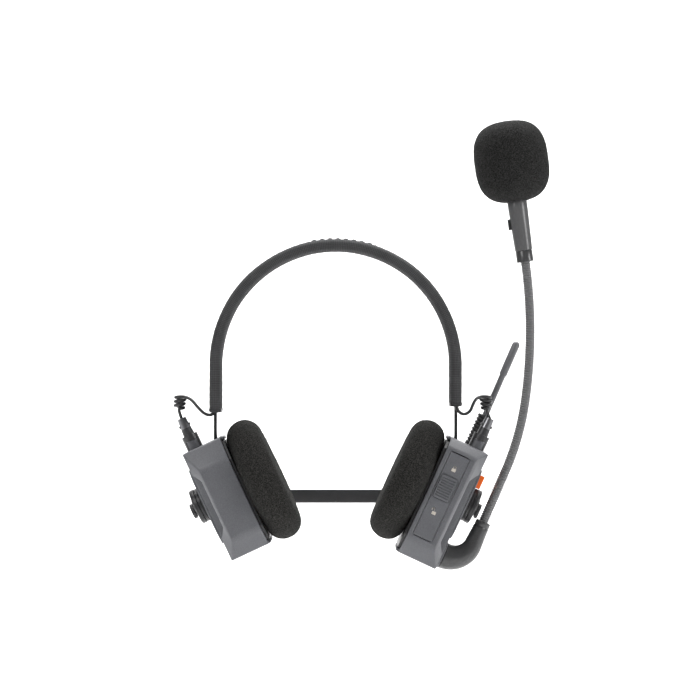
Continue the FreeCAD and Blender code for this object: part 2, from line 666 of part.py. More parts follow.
def mic_place(shape, base):
    """Stand a shape made upright at the origin on the gooseneck's end."""
    moved = shape.copy()
    place = FreeCAD.Placement(base, FreeCAD.Rotation(V(0, 1, 0), MIC_ANGLE))
    moved.Placement = place.multiply(moved.Placement)
    return moved


def build_microphone(end):
    """Collar, holder, capsule, mute button and foam windscreen, made upright and then leaned."""
    base = walk(end, MIC_ANGLE, 0.1)
    up = COLLAR_LENGTH
    collar = rod(4.7, V(0, 0, 0), V(0, 0, up))
    body = taper(4.95, 5.55, V(0, 0, up), V(0, 0, up + 22))
    body = joined(body, rod(5.55, V(0, 0, up + 22), V(0, 0, up + HOLDER_LENGTH)))
    switch_z = up + 15.1
    pocket = box((-7, -3.1), (-1.75, 1.75), (switch_z - 3.1, switch_z + 3.1))
    keep("mic_collar", mic_place(collar, base))
    keep("mic_holder", mic_place(body.cut(pocket), base))
    button = box((-6.6, -3.8), (-1.6, 1.6), (switch_z - 2.95, switch_z + 2.95))
    keep("mute_button", mic_place(button, base))
    capsule_z = (up + HOLDER_LENGTH, up + HOLDER_LENGTH + 12)
    capsule = rod(6.4, V(0, 0, capsule_z[0]), V(0, 0, capsule_z[1]))
    keep("mic_capsule", mic_place(capsule, base))
    centre = up + SCREEN_CENTRE
    points = []
    for step in range(13):
        angle = math.radians(15 * step - 90)
        across = SCREEN_R * abs(math.cos(angle)) ** (2 / SCREEN_POWER)
        height = math.copysign(SCREEN_HALF * abs(math.sin(angle)) ** (2 / SCREEN_POWER), math.sin(angle))
        points.append(V(across if 0 < step < 12 else 0, 0, centre + height))
    side = Part.BSplineCurve()
    side.interpolate(points)
    axis = Part.LineSegment(points[-1], points[0]).toShape()
    screen = Part.Face(Part.Wire([side.toShape(), axis])).revolve(V(0, 0, 0), V(0, 0, 1), 360)
    screen = screen.cut(rod(5.6, V(0, 0, up), V(0, 0, capsule_z[0])))
    screen = screen.cut(rod(6.5, V(0, 0, capsule_z[0] - 0.1), V(0, 0, capsule_z[1] + 0.1)))
    keep("windscreen", mic_place(screen, base))


# ---- the two short curly cables ---------------------------------------------------
LEAD_ROUTES = {
    "left": [
        V(-65.8, -8.0, -79.1),
        V(-65.7, -7.95, -82.3),
        V(-65.8, -8.0, -85.6),
        V(-67.0, -8.3, -89.6),
        V(-71.2, -8.0, -89.4),
        V(-75.3, -6.6, -85.6),
        V(-78.8, -4.6, -81.3),
        V(-82.2, -2.6, -79.7),
    ],
    "right": [
        V(65.8, -8.0, -75.8),
        V(65.7, -7.95, -79.1),
        V(65.8, -8.0, -82.4),
        V(66.6, -8.3, -87.0),
        V(69.6, -8.0, -89.5),
        V(73.6, -7.0, -88.0),
        V(75.3, -5.6, -83.6),
        V(77.2, -4.0, -80.4),
        V(80.0, -2.4, -79.5),
    ],
}
COIL_R = 3.5
COIL_ENDS = {
    "left": (V(-85.3, 0, -78.6), V(-86.0, 0, -87.2)),
    "right": (V(82.3, 0, -78.6), V(83.1, 0, -87.2)),
}


def build_cables():
    for side, word in ((-1, "left"), (1, "right")):
        top, bottom = COIL_ENDS[word]
        coil = rod(COIL_R, top, bottom)
        lead = cord(LEAD_ROUTES[word], WIRE_D, f"cable_lead_{word}")
        keep(f"cable_lead_{word}", lead.cut(coil))
        foot = cup_place(V(JACK_X, 0, PLUG_TOP), side)
        tail = rod(WIRE_D / 2, bottom + V(0, 0, 1.0), foot)
        keep(f"cable_coil_{word}", joined(coil, tail))


def main():
    build_headband()
    build_yoke()
    for side, word in ((-1, "left"), (1, "right")):
        build_housing(side, word)
        build_baffle(side, word)
        build_pad(side, word)
        build_hub(side, word)
        build_jack(side, word)
    build_battery()
    build_button()
    build_antenna()
    socket, mouth = build_boom()
    end = build_gooseneck(socket, mouth)
    build_microphone(end)
    build_cables()
    os.makedirs("parts", exist_ok=True)
    for name, shape in NODES.items():
        if not shape.isValid():
            print(f"{name}: not a valid shape")
        solids = shape.Solids
        if len(solids) != 1:
            print(f"{name}: {len(solids)} solids")
        shape.exportStep(f"parts/{name}.step")
    print(f"{len(NODES)} nodes")


main()
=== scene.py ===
# %% [markdown]
# # A two-ear wireless headset with a boom microphone
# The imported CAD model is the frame: it says where every piece is and how it moves. This lesson dresses
# that frame. Each step says what the piece is on the real headset, and why it is made the way it is.

# %% Load the frame
import contextlib
import json
import math
import bmesh
import bpy
from mathutils import Matrix, Vector, noise


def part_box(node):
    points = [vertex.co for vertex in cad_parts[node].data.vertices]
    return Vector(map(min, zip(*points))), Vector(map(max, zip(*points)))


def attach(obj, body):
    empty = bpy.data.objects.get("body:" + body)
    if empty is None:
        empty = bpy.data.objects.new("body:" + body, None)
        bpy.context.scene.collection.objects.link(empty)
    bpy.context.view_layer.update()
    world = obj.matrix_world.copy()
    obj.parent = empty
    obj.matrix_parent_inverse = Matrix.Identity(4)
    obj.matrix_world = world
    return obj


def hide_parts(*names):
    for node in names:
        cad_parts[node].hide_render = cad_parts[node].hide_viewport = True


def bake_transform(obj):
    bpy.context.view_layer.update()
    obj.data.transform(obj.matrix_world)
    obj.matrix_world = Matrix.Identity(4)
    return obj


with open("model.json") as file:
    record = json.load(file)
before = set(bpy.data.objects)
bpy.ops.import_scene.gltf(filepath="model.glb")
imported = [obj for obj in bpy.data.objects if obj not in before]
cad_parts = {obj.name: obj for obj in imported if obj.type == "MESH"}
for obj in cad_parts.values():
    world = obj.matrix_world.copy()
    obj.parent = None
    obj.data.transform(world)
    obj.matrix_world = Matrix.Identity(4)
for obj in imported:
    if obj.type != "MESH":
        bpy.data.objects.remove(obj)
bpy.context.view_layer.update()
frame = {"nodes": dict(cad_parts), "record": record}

record = frame["record"]
nodes = frame["nodes"]
MM = 0.001
SIDES = {"left": -1, "right": 1}


def placed(name, data):
    """A new object that holds the data, put in the scene."""
    obj = bpy.data.objects.new(name, data)
    bpy.context.scene.collection.objects.link(obj)
    return obj


# %% [markdown]
# ## Places come from the frame
# Both ear cups lean 25 degrees, so most of their pieces are easiest to draw in the cup's own axes:
# x outwards from the head, y to the back, z up the cup. The mounts on the pads give the cups' places.

# %% The cups' own axes
mounts = {m["name"]: m for m in record["mounts"]}
PAD_HALF = 9.7 * MM
TILT = math.radians(25)


def cup_matrix(word):
    """From a cup's own axes to the frame; the left cup is the right one mirrored."""
    out = -Vector(mounts["ear_right"]["axis"])
    centre = Vector(mounts["ear_right"]["pos_m"]) + out * PAD_HALF
    up = Vector((-out.z, 0, out.x))
    place = Matrix((out, (0, 1, 0), up)).transposed().to_4x4()
    place.translation = centre
    flip = Matrix.Diagonal((SIDES[word], 1, 1, 1))
    return flip @ place


CUP = {word: cup_matrix(word) for word in SIDES}
print("cup centres:", {w: [round(c, 4) for c in m.translation] for w, m in CUP.items()})

# %% [markdown]
# ## Camera and light first
# The camera stands 1.4 m in front at the height of the ear cups, as for a catalogue picture. Big soft
# lamps and a pale room give the even light and the slow highlights that plain plastics need.

# %% Camera
CAMERA_DISTANCE = 1.4
SENSOR = 36 * MM
FIELD_WIDTH = 0.385
camera_data = bpy.data.cameras.new("camera")
camera_data.lens = SENSOR * CAMERA_DISTANCE / FIELD_WIDTH / MM
camera_data.sensor_width = SENSOR / MM
camera = placed("camera", camera_data)
camera.location = (0.0079, -CAMERA_DISTANCE, -0.054)
camera.rotation_euler = (math.radians(90), 0, 0)
bpy.context.scene.camera = camera
print("camera lens", round(camera_data.lens, 1), "mm")

# %% Floor, room and lamps
FLOOR_Z = -0.30


def lamp(name, place, target, size, power):
    """A square soft lamp that faces a point."""
    data = bpy.data.lights.new(name, "AREA")
    data.shape = "SQUARE"
    data.size = size
    data.energy = power
    obj = placed(name, data)
    obj.location = place
    obj.rotation_euler = (Vector(target) - Vector(place)).to_track_quat("-Z", "Y").to_euler()


world = bpy.data.worlds.new("pale_room")
world.use_nodes = True
ROOM_STRENGTH = 0.17
backdrop = world.node_tree.nodes["Background"].inputs
backdrop["Color"].default_value = (1, 1, 1, 1)
backdrop["Strength"].default_value = ROOM_STRENGTH
bpy.context.scene.world = world
bpy.context.scene.view_settings.view_transform = "Standard"
middle = (0.01, 0, -0.06)
lamp("key_lamp", (-0.60, -0.75, 0.45), middle, 0.45, 3.4)
lamp("side_lamp", (0.8, -0.35, 0.2), middle, 0.35, 3.1)
lamp("top_lamp", (0.05, 0.05, 0.9), middle, 0.5, 3.6)
lamp("backdrop_lamp", (0.0, 0.6, 1.2), (0.0, 1.7, 0.0), 1.4, 60.0)
SWEEP_Y, SWEEP_R, SWEEP_TOP = 1.2, 0.5, 2.6
FLOOR_FRONT, FLOOR_HALF = -2.5, 3
sweep = [(FLOOR_FRONT, 0.0), (0.1, 0.0), (SWEEP_Y, 0.0)]
turns = [0.2 * k for k in range(1, 8)]
sweep += [(SWEEP_Y + SWEEP_R * math.sin(a), SWEEP_R * (1 - math.cos(a))) for a in turns]
sweep += [(SWEEP_Y + SWEEP_R, SWEEP_R), (SWEEP_Y + SWEEP_R, SWEEP_TOP)]
points = [(x, y, FLOOR_Z + z) for y, z in sweep for x in (-FLOOR_HALF, FLOOR_HALF)]
faces = [(2 * i, 2 * i + 1, 2 * i + 3, 2 * i + 2) for i in range(len(sweep) - 1)]
mesh = bpy.data.meshes.new("floor")
mesh.from_pydata(points, [], faces)
mesh.polygons.foreach_set("use_smooth", [True] * len(faces))
floor = placed("floor", mesh)
print("lamps and floor placed")

# %% [markdown]
# ## A small language for materials
# Shader nodes are a way of writing sums. Wrapping a socket in a class with the usual operators lets a
# pattern be written as one expression, and every other node comes from one method.


# %% Socket arithmetic
class Value:
    """A number that varies over a surface: a socket with operators."""

    def __init__(self, tree, socket):
        self.tree = tree
        self.socket = socket

    def sum_node(self, operation, a, b=None, clamp=False):
        node = self.tree.nodes.new("ShaderNodeMath")
        node.operation = operation
        node.use_clamp = clamp
        for slot, item in zip(node.inputs, (a, b)):
            if isinstance(item, Value):
                self.tree.links.new(item.socket, slot)
            elif item is not None:
                slot.default_value = item
        return Value(self.tree, node.outputs[0])

    def __add__(self, other):
        return self.sum_node("ADD", self, other)

    def __sub__(self, other):
        return self.sum_node("SUBTRACT", self, other)

    def __rsub__(self, other):
        return self.sum_node("SUBTRACT", other, self)

    def __mul__(self, other):
        return self.sum_node("MULTIPLY", self, other)

    def sine(self):
        return self.sum_node("SINE", self)

    def absolute(self):
        return self.sum_node("ABSOLUTE", self)

    def clamped(self):
        return self.sum_node("ADD", self, 0.0, clamp=True)


class Finish:
    """One material: a Principled shader, and the patterns that feed it."""

    def __init__(self, name, roughness=0.5, **fixed):
        self.material = bpy.data.materials.new(name)
        self.material.use_nodes = True
        self.tree = self.material.node_tree
        self.shader = self.tree.nodes["Principled BSDF"]
        self.shader.inputs["Roughness"].default_value = roughness
        for socket, value in fixed.items():
            self.shader.inputs[socket.replace("_", " ")].default_value = value

    def node(self, kind, settings=None, **inputs):
        made = self.tree.nodes.new(kind)
        for name, value in (settings or {}).items():
            setattr(made, name, value)
        for name, value in inputs.items():
            slot = made.inputs[name.replace("_", " ")]
            if isinstance(value, Value):
                value = value.socket
            if isinstance(value, bpy.types.NodeSocket):
                self.tree.links.new(value, slot)
            else:
                slot.default_value = value
        return made

    def place(self, uv=False):
        """Coordinates in millimetres, from the object or from the piece's own map."""
        coords = self.node("ShaderNodeTexCoord").outputs["UV" if uv else "Object"]
        return self.node("ShaderNodeMapping", Vector=coords, Scale=(1 / MM,) * 3).outputs[0]

    def axes(self, place):
        split = self.node("ShaderNodeSeparateXYZ", Vector=place)
        return [Value(self.tree, s) for s in split.outputs]

    def cloud(self, place, scale, detail=3.0, rough=0.5):
        made = self.node("ShaderNodeTexNoise", Vector=place, Scale=scale, Detail=detail, Roughness=rough)
        return Value(self.tree, made.outputs["Fac"])

    def cells(self, place, scale):
        made = self.node("ShaderNodeTexVoronoi", {"feature": "F1"}, Vector=place, Scale=scale)
        return Value(self.tree, made.outputs["Distance"])

    def between(self, amount, dark, light):
        """A colour that goes from dark to light with a value."""
        made = self.node("ShaderNodeMix", {"data_type": "RGBA"})
        self.tree.links.new(amount.clamped().socket, made.inputs[0])
        for slot, colour in ((made.inputs[6], dark), (made.inputs[7], light)):
            if isinstance(colour, bpy.types.NodeSocket):
                self.tree.links.new(colour, slot)
            else:
                slot.default_value = (*colour, 1)
        return made.outputs[2]

    def edge(self, radius):
        """1 where a rounded edge turns the surface, 0 on the flats."""
        soft = self.node("ShaderNodeBevel", {"samples": 4}, Radius=radius).outputs[0]
        true = self.node("ShaderNodeNewGeometry").outputs["Normal"]
        dot = self.node("ShaderNodeVectorMath", {"operation": "DOT_PRODUCT"})
        self.tree.links.new(soft, dot.inputs[0])
        self.tree.links.new(true, dot.inputs[1])
        return (1.0 - Value(self.tree, dot.outputs["Value"])) * 4.0

    def colour(self, socket):
        self.tree.links.new(socket, self.shader.inputs["Base Color"])

    def roughness(self, value):
        self.tree.links.new(value.clamped().socket, self.shader.inputs["Roughness"])

    def relief(self, height, depth_mm, soft_edge=0.0):
        """Bump of a given depth. A soft edge also rounds sharp CAD edges in the shading."""
        bump = self.node("ShaderNodeBump", Height=height, Distance=depth_mm * MM, Strength=1.0)
        if soft_edge:
            soft = self.node("ShaderNodeBevel", {"samples": 6}, Radius=soft_edge)
            self.tree.links.new(soft.outputs[0], bump.inputs["Normal"])
        self.tree.links.new(bump.outputs[0], self.shader.inputs["Normal"])


print("material helpers ready")

# %% [markdown]
# ## Moulded plastics
# Moulds for headset shells are spark-eroded, which leaves a fine even grain of about a tenth of a
# millimetre. Rounded edges get a painted highlight, a paler colour, and a little more gloss.


# %% Plastic, rubber and coated metal
def moulded(name, dark, light, rough, grain=3.2, depth=0.02, edge_highlight=0.35, edge_mm=0.35, **fixed):
    """A moulded finish: fine grain, slow colour drift and edges painted paler as a highlight."""
    finish = Finish(name, rough, **fixed)
    place = finish.place()
    fine = finish.cloud(place, grain, 2.0)
    drift = finish.cloud(place, 0.06, 3.0)
    # Painted highlight: rounded edges are painted paler, standing in for light caught there; they are also a
    # little glossier.
    highlit_edges = finish.edge(edge_mm * MM)
    tone = (drift - 0.5) * 0.6 + (fine - 0.5) * 1.6 + 0.5
    body = finish.between(tone, dark, light)
    pale = tuple(min(1.0, c * 1.7 + 0.01) for c in light)
    finish.colour(finish.between(highlit_edges * edge_highlight, body, pale))
    finish.roughness((fine - 0.5) * 0.12 - highlit_edges * 0.08 + rough)
    finish.relief(fine, depth, edge_mm * MM)
    return finish.material


GREY = moulded("grey_shell", (0.096, 0.098, 0.107), (0.156, 0.159, 0.172), 0.42, 2.4, 0.03)
BLACK = moulded("black_shell", (0.018, 0.018, 0.019), (0.038, 0.038, 0.040), 0.36)
DARK_GREY = moulded("dark_grey_holder", (0.095, 0.095, 0.097), (0.140, 0.140, 0.143), 0.26, 5.0, 0.01)
ORANGE = moulded("orange_button", (0.90, 0.120, 0.008), (1.0, 0.19, 0.018), 0.36, 3.0, 0.015, 0.2)
RUBBER = moulded("satin_rubber", (0.030, 0.030, 0.031), (0.060, 0.060, 0.062), 0.34, 3.5, 0.012, 0.3)
SUPPLE = moulded("supple_rubber", (0.046, 0.046, 0.047), (0.084, 0.084, 0.086), 0.22, 3.5, 0.008, 0.3)
SPRUNG = moulded("coated_spring", (0.120, 0.120, 0.122), (0.200, 0.200, 0.203), 0.25, 5.0, 0.005, 0.3, 0.2)
JACKET = moulded("cable_jacket", (0.018, 0.018, 0.019), (0.036, 0.036, 0.038), 0.28, 5.0, 0.01, 0.0, 0.1)
COATED = moulded("coated_steel", (0.012, 0.012, 0.013), (0.024, 0.024, 0.026), 0.34, 9.0, 0.006, 0.5)
GUARD = moulded("antenna_grey", (0.135, 0.137, 0.145), (0.180, 0.182, 0.192), 0.34, 4.0, 0.012)
FRAME = moulded("speaker_frame", (0.03, 0.03, 0.03), (0.05, 0.05, 0.05), 0.5)
WRAP = moulded("battery_wrap", (0.03, 0.035, 0.05), (0.05, 0.055, 0.075), 0.3, 3.0, 0.01)
BOARD = moulded("board_green", (0.01, 0.07, 0.03), (0.02, 0.13, 0.05), 0.35, 3.0, 0.02)
MARK = moulded("printed_mark", (0.52, 0.47, 0.41), (0.62, 0.57, 0.50), 0.6, 8.0, 0.005, 0.0)
PLATED = moulded("plated_steel", (0.20, 0.20, 0.21), (0.30, 0.30, 0.31), 0.32, 10.0, 0.004, 0.2, Metallic=1.0)
print("moulded finishes:", len(bpy.data.materials))

# %% [markdown]
# ## Open-cell foam
# Foam is a web of thin walls round bubbles. Seen close, each pore is a dark hole with a faintly lit rim.
# Two sizes of cell, one inside the other, keep it from looking like a printed pattern.


# %% Foam
def foam_finish(name, dark, light, pore):
    finish = Finish(name, 0.95)
    finish.shader.inputs["Specular IOR Level"].default_value = 0.12
    place = finish.place()
    warp = finish.cloud(place, 0.5 / pore, 2.0)
    large = finish.cells(place, 1.0 / pore)
    small = finish.cells(place, 2.3 / pore)
    wall = large * 0.6 + small * 0.4
    speck = finish.cloud(place, 1.6 / pore, 1.0)
    shade = (wall - 0.30) * 2.6 + (speck - 0.5) * 1.8 + (warp - 0.5) * 0.4
    finish.colour(finish.between(shade, dark, light))
    finish.relief(wall + speck * 0.5, 0.5 * pore)
    return finish.material


PAD_FOAM = foam_finish("ear_foam", (0.002, 0.002, 0.002), (0.050, 0.049, 0.046), 0.5)
SCREEN_FOAM = foam_finish("screen_foam", (0.001, 0.001, 0.001), (0.044, 0.044, 0.043), 0.45)
print("foam finishes ready")

# %% [markdown]
# ## Knit fabric
# The arch wears a knitted tube. A knit is rows of small loops, each leaning the other way from its
# neighbour. The band's own map runs in metres along and across the fabric, so the loops keep their size.


# %% Knit
STITCH_LONG = 0.95
STITCH_WIDE = 0.75


def knit_finish():
    finish = Finish("knit_fabric", 0.85)
    finish.shader.inputs["Sheen Weight"].default_value = 0.0
    finish.shader.inputs["Specular IOR Level"].default_value = 0.15
    place = finish.place(uv=True)
    across, along, _ = finish.axes(place)
    column = (across * (math.pi / STITCH_WIDE)).sine().absolute()
    lean = (across * (math.tau / STITCH_WIDE)).sine() * 0.9
    row = (along * (math.tau / STITCH_LONG) + lean).sine() * 0.5 + 0.5
    loops = column * 0.55 + row * 0.45
    fluff = finish.cloud(place, 2.6, 3.0, 0.6)
    drift = finish.cloud(finish.place(), 0.12, 2.0)
    shade = loops * 0.75 + (fluff - 0.5) * 0.8 + (drift - 0.5) * 0.3
    finish.colour(finish.between(shade, (0.028, 0.028, 0.029), (0.112, 0.112, 0.115)))
    finish.relief(loops + fluff * 0.5, 0.12)
    return finish.material


KNIT = knit_finish()
print("knit ready")

# %% [markdown]
# ## Helpers for meshes
# Most pieces are one closed skin made of rings, so one function joins rings of points into a tube and
# closes its ends. A finished piece keeps its place in its mesh, with the object at the origin.


# %% Mesh helpers
def new_piece(name, points, faces, smooth=True):
    mesh = bpy.data.meshes.new(name)
    mesh.from_pydata([tuple(p) for p in points], [], faces)
    mesh.update()
    mesh.polygons.foreach_set("use_smooth", [smooth] * len(mesh.polygons))
    return placed(name, mesh)


@contextlib.contextmanager
def edited(piece):
    """The piece's mesh, open for editing."""
    work = bmesh.new()
    work.from_mesh(piece.data)
    yield work
    work.to_mesh(piece.data)
    work.free()


def outward(piece):
    """Points a closed mesh's faces outwards."""
    with edited(piece) as work:
        bmesh.ops.recalc_face_normals(work, faces=work.faces)
    return piece


def ring_skin(name, rings, closed=False):
    """A skin over rings with the same number of points; its ends are closed by fans."""
    count = len(rings[0])
    points = [p for ring in rings for p in ring]
    faces = []
    spans = len(rings) if closed else len(rings) - 1
    for i in range(spans):
        a, b = i * count, (i + 1) % len(rings) * count
        for j in range(count):
            k = (j + 1) % count
            faces.append((a + j, a + k, b + k, b + j))
    if not closed:
        for ring, start, turn in ((rings[0], 0, -1), (rings[-1], len(rings) * count - count, 1)):
            centre = sum((Vector(p) for p in ring), Vector()) / count
            points.append(centre)
            hub = len(points) - 1
            for j in range(count):
                faces.append((hub, start + j, start + (j + 1) % count)[::turn])
    return outward(new_piece(name, points, faces))


def turned(name, profile, place, sides=64, dent=None):
    """A turned piece: (distance along, radius) pairs round the local x axis, dented if asked."""
    rings = []
    for along, radius in profile:
        ring = []
        for j in range(sides):
            angle = math.tau * j / sides
            r = dent(along, radius, angle) if dent else radius
            ring.append(place @ (Vector((along, r * math.cos(angle), r * math.sin(angle))) * MM))
        rings.append(ring)
    return ring_skin(name, rings)


def sharp_by_angle(piece, degrees=32):
    """Smooth shading that breaks at real edges."""
    piece.data.polygons.foreach_set("use_smooth", [True] * len(piece.data.polygons))
    with edited(piece) as work:
        for e in work.edges:
            if len(e.link_faces) == 2 and e.calc_face_angle() > math.radians(degrees):
                e.smooth = False
    return piece


def baked(piece):
    """The piece with its modifiers made part of its mesh."""
    bpy.context.view_layer.update()
    graph = bpy.context.evaluated_depsgraph_get()
    mesh = bpy.data.meshes.new_from_object(piece.evaluated_get(graph))
    piece.modifiers.clear()
    if piece.type == "MESH":
        piece.data = mesh
        return piece
    made = placed(piece.name, mesh)
    bpy.data.objects.remove(piece)
    return made


def dress(piece, material, body, slot, *stands_for):
    """Give a finished piece its material, its body and the CAD nodes it stands for; the slot is not used."""
    piece.data.materials.clear()
    piece.data.materials.append(material)
    if stands_for:
        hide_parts(*stands_for)
    if body:
        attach(piece, body)
    return piece


def lathe(name, profile, place, sides, finish, sharp=40, dent=None):
    """A turned piece with real edges, dressed with (material, body, slot, CAD nodes)."""
    return dress(sharp_by_angle(turned(name, profile, place, sides, dent), sharp), *finish)


def leaning(lean, point):
    """A frame at a point whose x axis stands up, leaning by an angle towards +x."""
    up = Vector((math.sin(lean), 0, math.cos(lean)))
    across = Vector((up.z, 0, -up.x))
    place = Matrix((up, (0, 1, 0), -across)).transposed().to_4x4()
    place.translation = point
    return place


print("mesh helpers ready")

# %% [markdown]
# ## The two curly cables
# A thin jumper leaves each end of the arch, winds three tight turns and drops into the plug on the cup.
# Each is one smooth line, made in two lengths: the lead, and the coil from half a turn down.

# %% Cable routes
CABLE_D = 1.8 * MM
COIL_TURNS = 3
COIL_MID_R = 2.75 * MM
TURN_POINTS = 12
# Millimetres, from the cap to the top of the coil; then each coil's own top and bottom.
LEAD_ROUTES = {
    "left": [
        (-65.8, -8.0, -79.1),
        (-65.7, -7.95, -82.3),
        (-65.8, -8.0, -85.6),
        (-67.0, -8.3, -89.6),
        (-71.2, -8.0, -89.4),
        (-75.3, -6.6, -85.6),
        (-78.8, -4.6, -81.3),
        (-82.2, -2.6, -79.7),
    ],
    "right": [
        (65.8, -8.0, -75.8),
        (65.7, -7.95, -79.1),
        (65.8, -8.0, -82.4),
        (66.6, -8.3, -87.0),
        (69.6, -8.0, -89.5),
        (73.6, -7.0, -88.0),
        (75.3, -5.6, -83.6),
        (77.2, -4.0, -80.4),
        (80.0, -2.4, -79.5),
    ],
}
COIL_ENDS = {
    "left": ((-85.3, 0, -79.5), (-86.0, 0, -86.3)),
    "right": ((82.3, 0, -79.5), (83.1, 0, -86.3)),
}


def coil_points(word):
    """Turns of the coil from its top, starting at the front, where the lead arrives."""
    top, bottom = (Vector(end) * MM for end in COIL_ENDS[word])
    points = []
    for i in range(COIL_TURNS * TURN_POINTS + 1):
        angle = math.tau * i / TURN_POINTS
        middle = top.lerp(bottom, i / (COIL_TURNS * TURN_POINTS))
        loose = COIL_MID_R * (1 + 0.04 * math.sin(1.7 * angle))
        side = Vector((SIDES[word] * math.sin(angle), -math.cos(angle), 0)) * loose
        points.append(middle + side)
    return points


def smooth_line(points):
    """The points of a smooth curve steered by the route's points."""
    data = bpy.data.curves.new("route", "CURVE")
    data.dimensions = "3D"
    data.resolution_u = 8
    spline = data.splines.new("NURBS")
    spline.points.add(len(points) - 1)
    for slot, point in zip(spline.points, points):
        slot.co = (*point, 1)
    spline.order_u = 3
    spline.use_endpoint_u = True
    obj = placed("route", data)
    bpy.context.view_layer.update()
    mesh = bpy.data.meshes.new_from_object(obj.evaluated_get(bpy.context.evaluated_depsgraph_get()))
    line = [v.co.copy() for v in mesh.vertices]
    bpy.data.objects.remove(obj)
    return line


def tube(name, line, radius, sides=14):
    """A round skin along a line, its rings turned as little as possible."""
    rings = []
    across = None
    for i, point in enumerate(line):
        ahead = line[min(i + 1, len(line) - 1)] - line[max(i - 1, 0)]
        ahead.normalize()
        if across is None:
            across = ahead.orthogonal()
        across = (across - ahead * across.dot(ahead)).normalized()
        up = ahead.cross(across)
        turn = [math.tau * j / sides for j in range(sides)]
        rings.append([point + (across * math.cos(a) + up * math.sin(a)) * radius for a in turn])
    return ring_skin(name, rings)


def length_of(line):
    return sum((b - a).length for a, b in zip(line, line[1:]))


# %% Make the cables
HALF_TURN = TURN_POINTS // 2
for word, side in SIDES.items():
    coil = coil_points(word)
    foot = CUP[word] @ (Vector((27.0, 0, 49.4)) * MM)
    steer = [Vector(p) * MM for p in LEAD_ROUTES[word]]
    below = Vector(COIL_ENDS[word][1]) * MM + Vector((0, -0.0012, -0.0016))
    route = steer + coil + [below, foot]
    line = smooth_line(route)
    split = min(range(len(line)), key=lambda i: (line[i] - coil[HALF_TURN]).length)
    lead_line, coil_line = line[: split + 1], line[split:]
    lead = tube(f"cable_lead_skin_{word}", lead_line, CABLE_D / 2)
    curl = tube(f"cable_coil_skin_{word}", coil_line, CABLE_D / 2)
    exit_point = steer[0]
    length_of(lead_line)
    length_of(coil_line)
    dress(lead, JACKET, None, "cable_jacket", f"cable_lead_{word}")
    dress(curl, JACKET, None, "cable_jacket", f"cable_coil_{word}")
    y, z = exit_point.y, exit_point.z
    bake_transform(lead)
    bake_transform(curl)
    print(f"cable {word}: lead {length_of(lead_line):.4f} m, coil {length_of(coil_line):.4f} m")

# %% [markdown]
# ## The padded arch
# A spring-steel arch sits inside a thin foam sleeve with a knitted cover. The sleeve is a band swept
# round a half circle and down two straight legs. A few raised bars across the crown keep it from
# slipping off a hook.

# %% Sweep the sleeve
BAND_INNER = 62.35 * MM
BAND_THICK = 6.9 * MM
BAND_WIDTH = 24.0 * MM
BAND_STEP = 0.5 * MM
RIM_POINTS = 96
band_low, band_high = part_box("headband_pad")
arch_mid = BAND_INNER + BAND_THICK / 2
arch_z = -BAND_INNER
leg_ends = {word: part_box(f"end_cap_{word}")[0].z - 0.1 * MM for word in SIDES}


def arch_point(distance):
    """The middle of the band and its outward direction at a distance from the left end."""
    left_leg = arch_z - leg_ends["left"]
    over = math.pi * arch_mid
    if distance < left_leg:
        return Vector((-arch_mid, 0, leg_ends["left"] + distance)), Vector((-1, 0, 0))
    if distance < left_leg + over:
        angle = (distance - left_leg) / arch_mid
        out = Vector((-math.cos(angle), 0, math.sin(angle)))
        return Vector((0, 0, arch_z)) + out * arch_mid, out
    down = distance - left_leg - over
    return Vector((arch_mid, 0, arch_z - down)), Vector((1, 0, 0))


def squared(angle, power):
    """A point on a rounded square of half width 1."""
    c, s = math.cos(angle), math.sin(angle)
    return math.copysign(abs(c) ** (2 / power), c), math.copysign(abs(s) ** (2 / power), s)


def band_skin():
    total = math.pi * arch_mid + 2 * arch_z - leg_ends["left"] - leg_ends["right"]
    steps = round(total / BAND_STEP)
    crown = arch_z - leg_ends["left"] + math.pi * arch_mid / 2
    rings = []
    for i in range(steps + 1):
        distance = total * i / steps
        middle, out = arch_point(distance)
        edge = min(distance, total - distance)
        pinch = 1 - 0.10 * max(0.0, 1 - edge / (1.4 * MM)) ** 2
        ring = []
        for j in range(RIM_POINTS):
            a, b = squared(math.tau * j / RIM_POINTS, 3.4)
            thick = a * BAND_THICK / 2 * pinch
            wide = b * BAND_WIDTH / 2 * pinch
            soft = noise.noise(Vector((distance * 60, a * 0.6, b * 2.2))) * 0.14 * MM
            ripple = math.sin(distance / (0.62 * MM) + b * 2.0) * 0.03 * MM
            bar = crown_bar(distance - crown, wide) if a > 0 else 0.0
            ring.append(middle + out * (thick + a * (soft + ripple) + bar) + Vector((0, wide, 0)))
        rings.append(ring)
    return rings, total


def crown_bar(offset, wide):
    """The height of the raised bars on the crown at a place on the outer face."""
    pitch, bar, rise = 4.2 * MM, 2.4 * MM, 0.55 * MM
    start, end = -12.5 * MM, 21.5 * MM
    if not start < offset < end or abs(wide) > 8.5 * MM:
        return 0.0
    inside = (offset - start) % pitch
    slope = min(inside, bar - inside) / (0.45 * MM)
    side = (8.5 * MM - abs(wide)) / (0.6 * MM)
    return rise * max(0.0, min(1.0, slope)) * min(1.0, side)


rings, band_length = band_skin()
band = ring_skin("headband_sleeve", rings)
fabric_map = band.data.uv_layers.new(name="fabric")
girth = 2 * (BAND_THICK + BAND_WIDTH)
for face in band.data.polygons:
    columns = [band.data.loops[k].vertex_index for k in face.loop_indices]
    wraps = any(v % RIM_POINTS > RIM_POINTS * 3 / 4 for v in columns)
    for k, v in zip(face.loop_indices, columns):
        row, column = divmod(min(v, len(rings) * RIM_POINTS - 1), RIM_POINTS)
        if wraps and column < RIM_POINTS / 4:
            column += RIM_POINTS
        fabric_map.data[k].uv = (girth * column / RIM_POINTS, band_length * row / len(rings))
dress(band, KNIT, "headband", "knit_fabric", "headband_pad")
print(f"sleeve {band_length * 1000:.0f} mm long, {len(band.data.polygons)} faces")

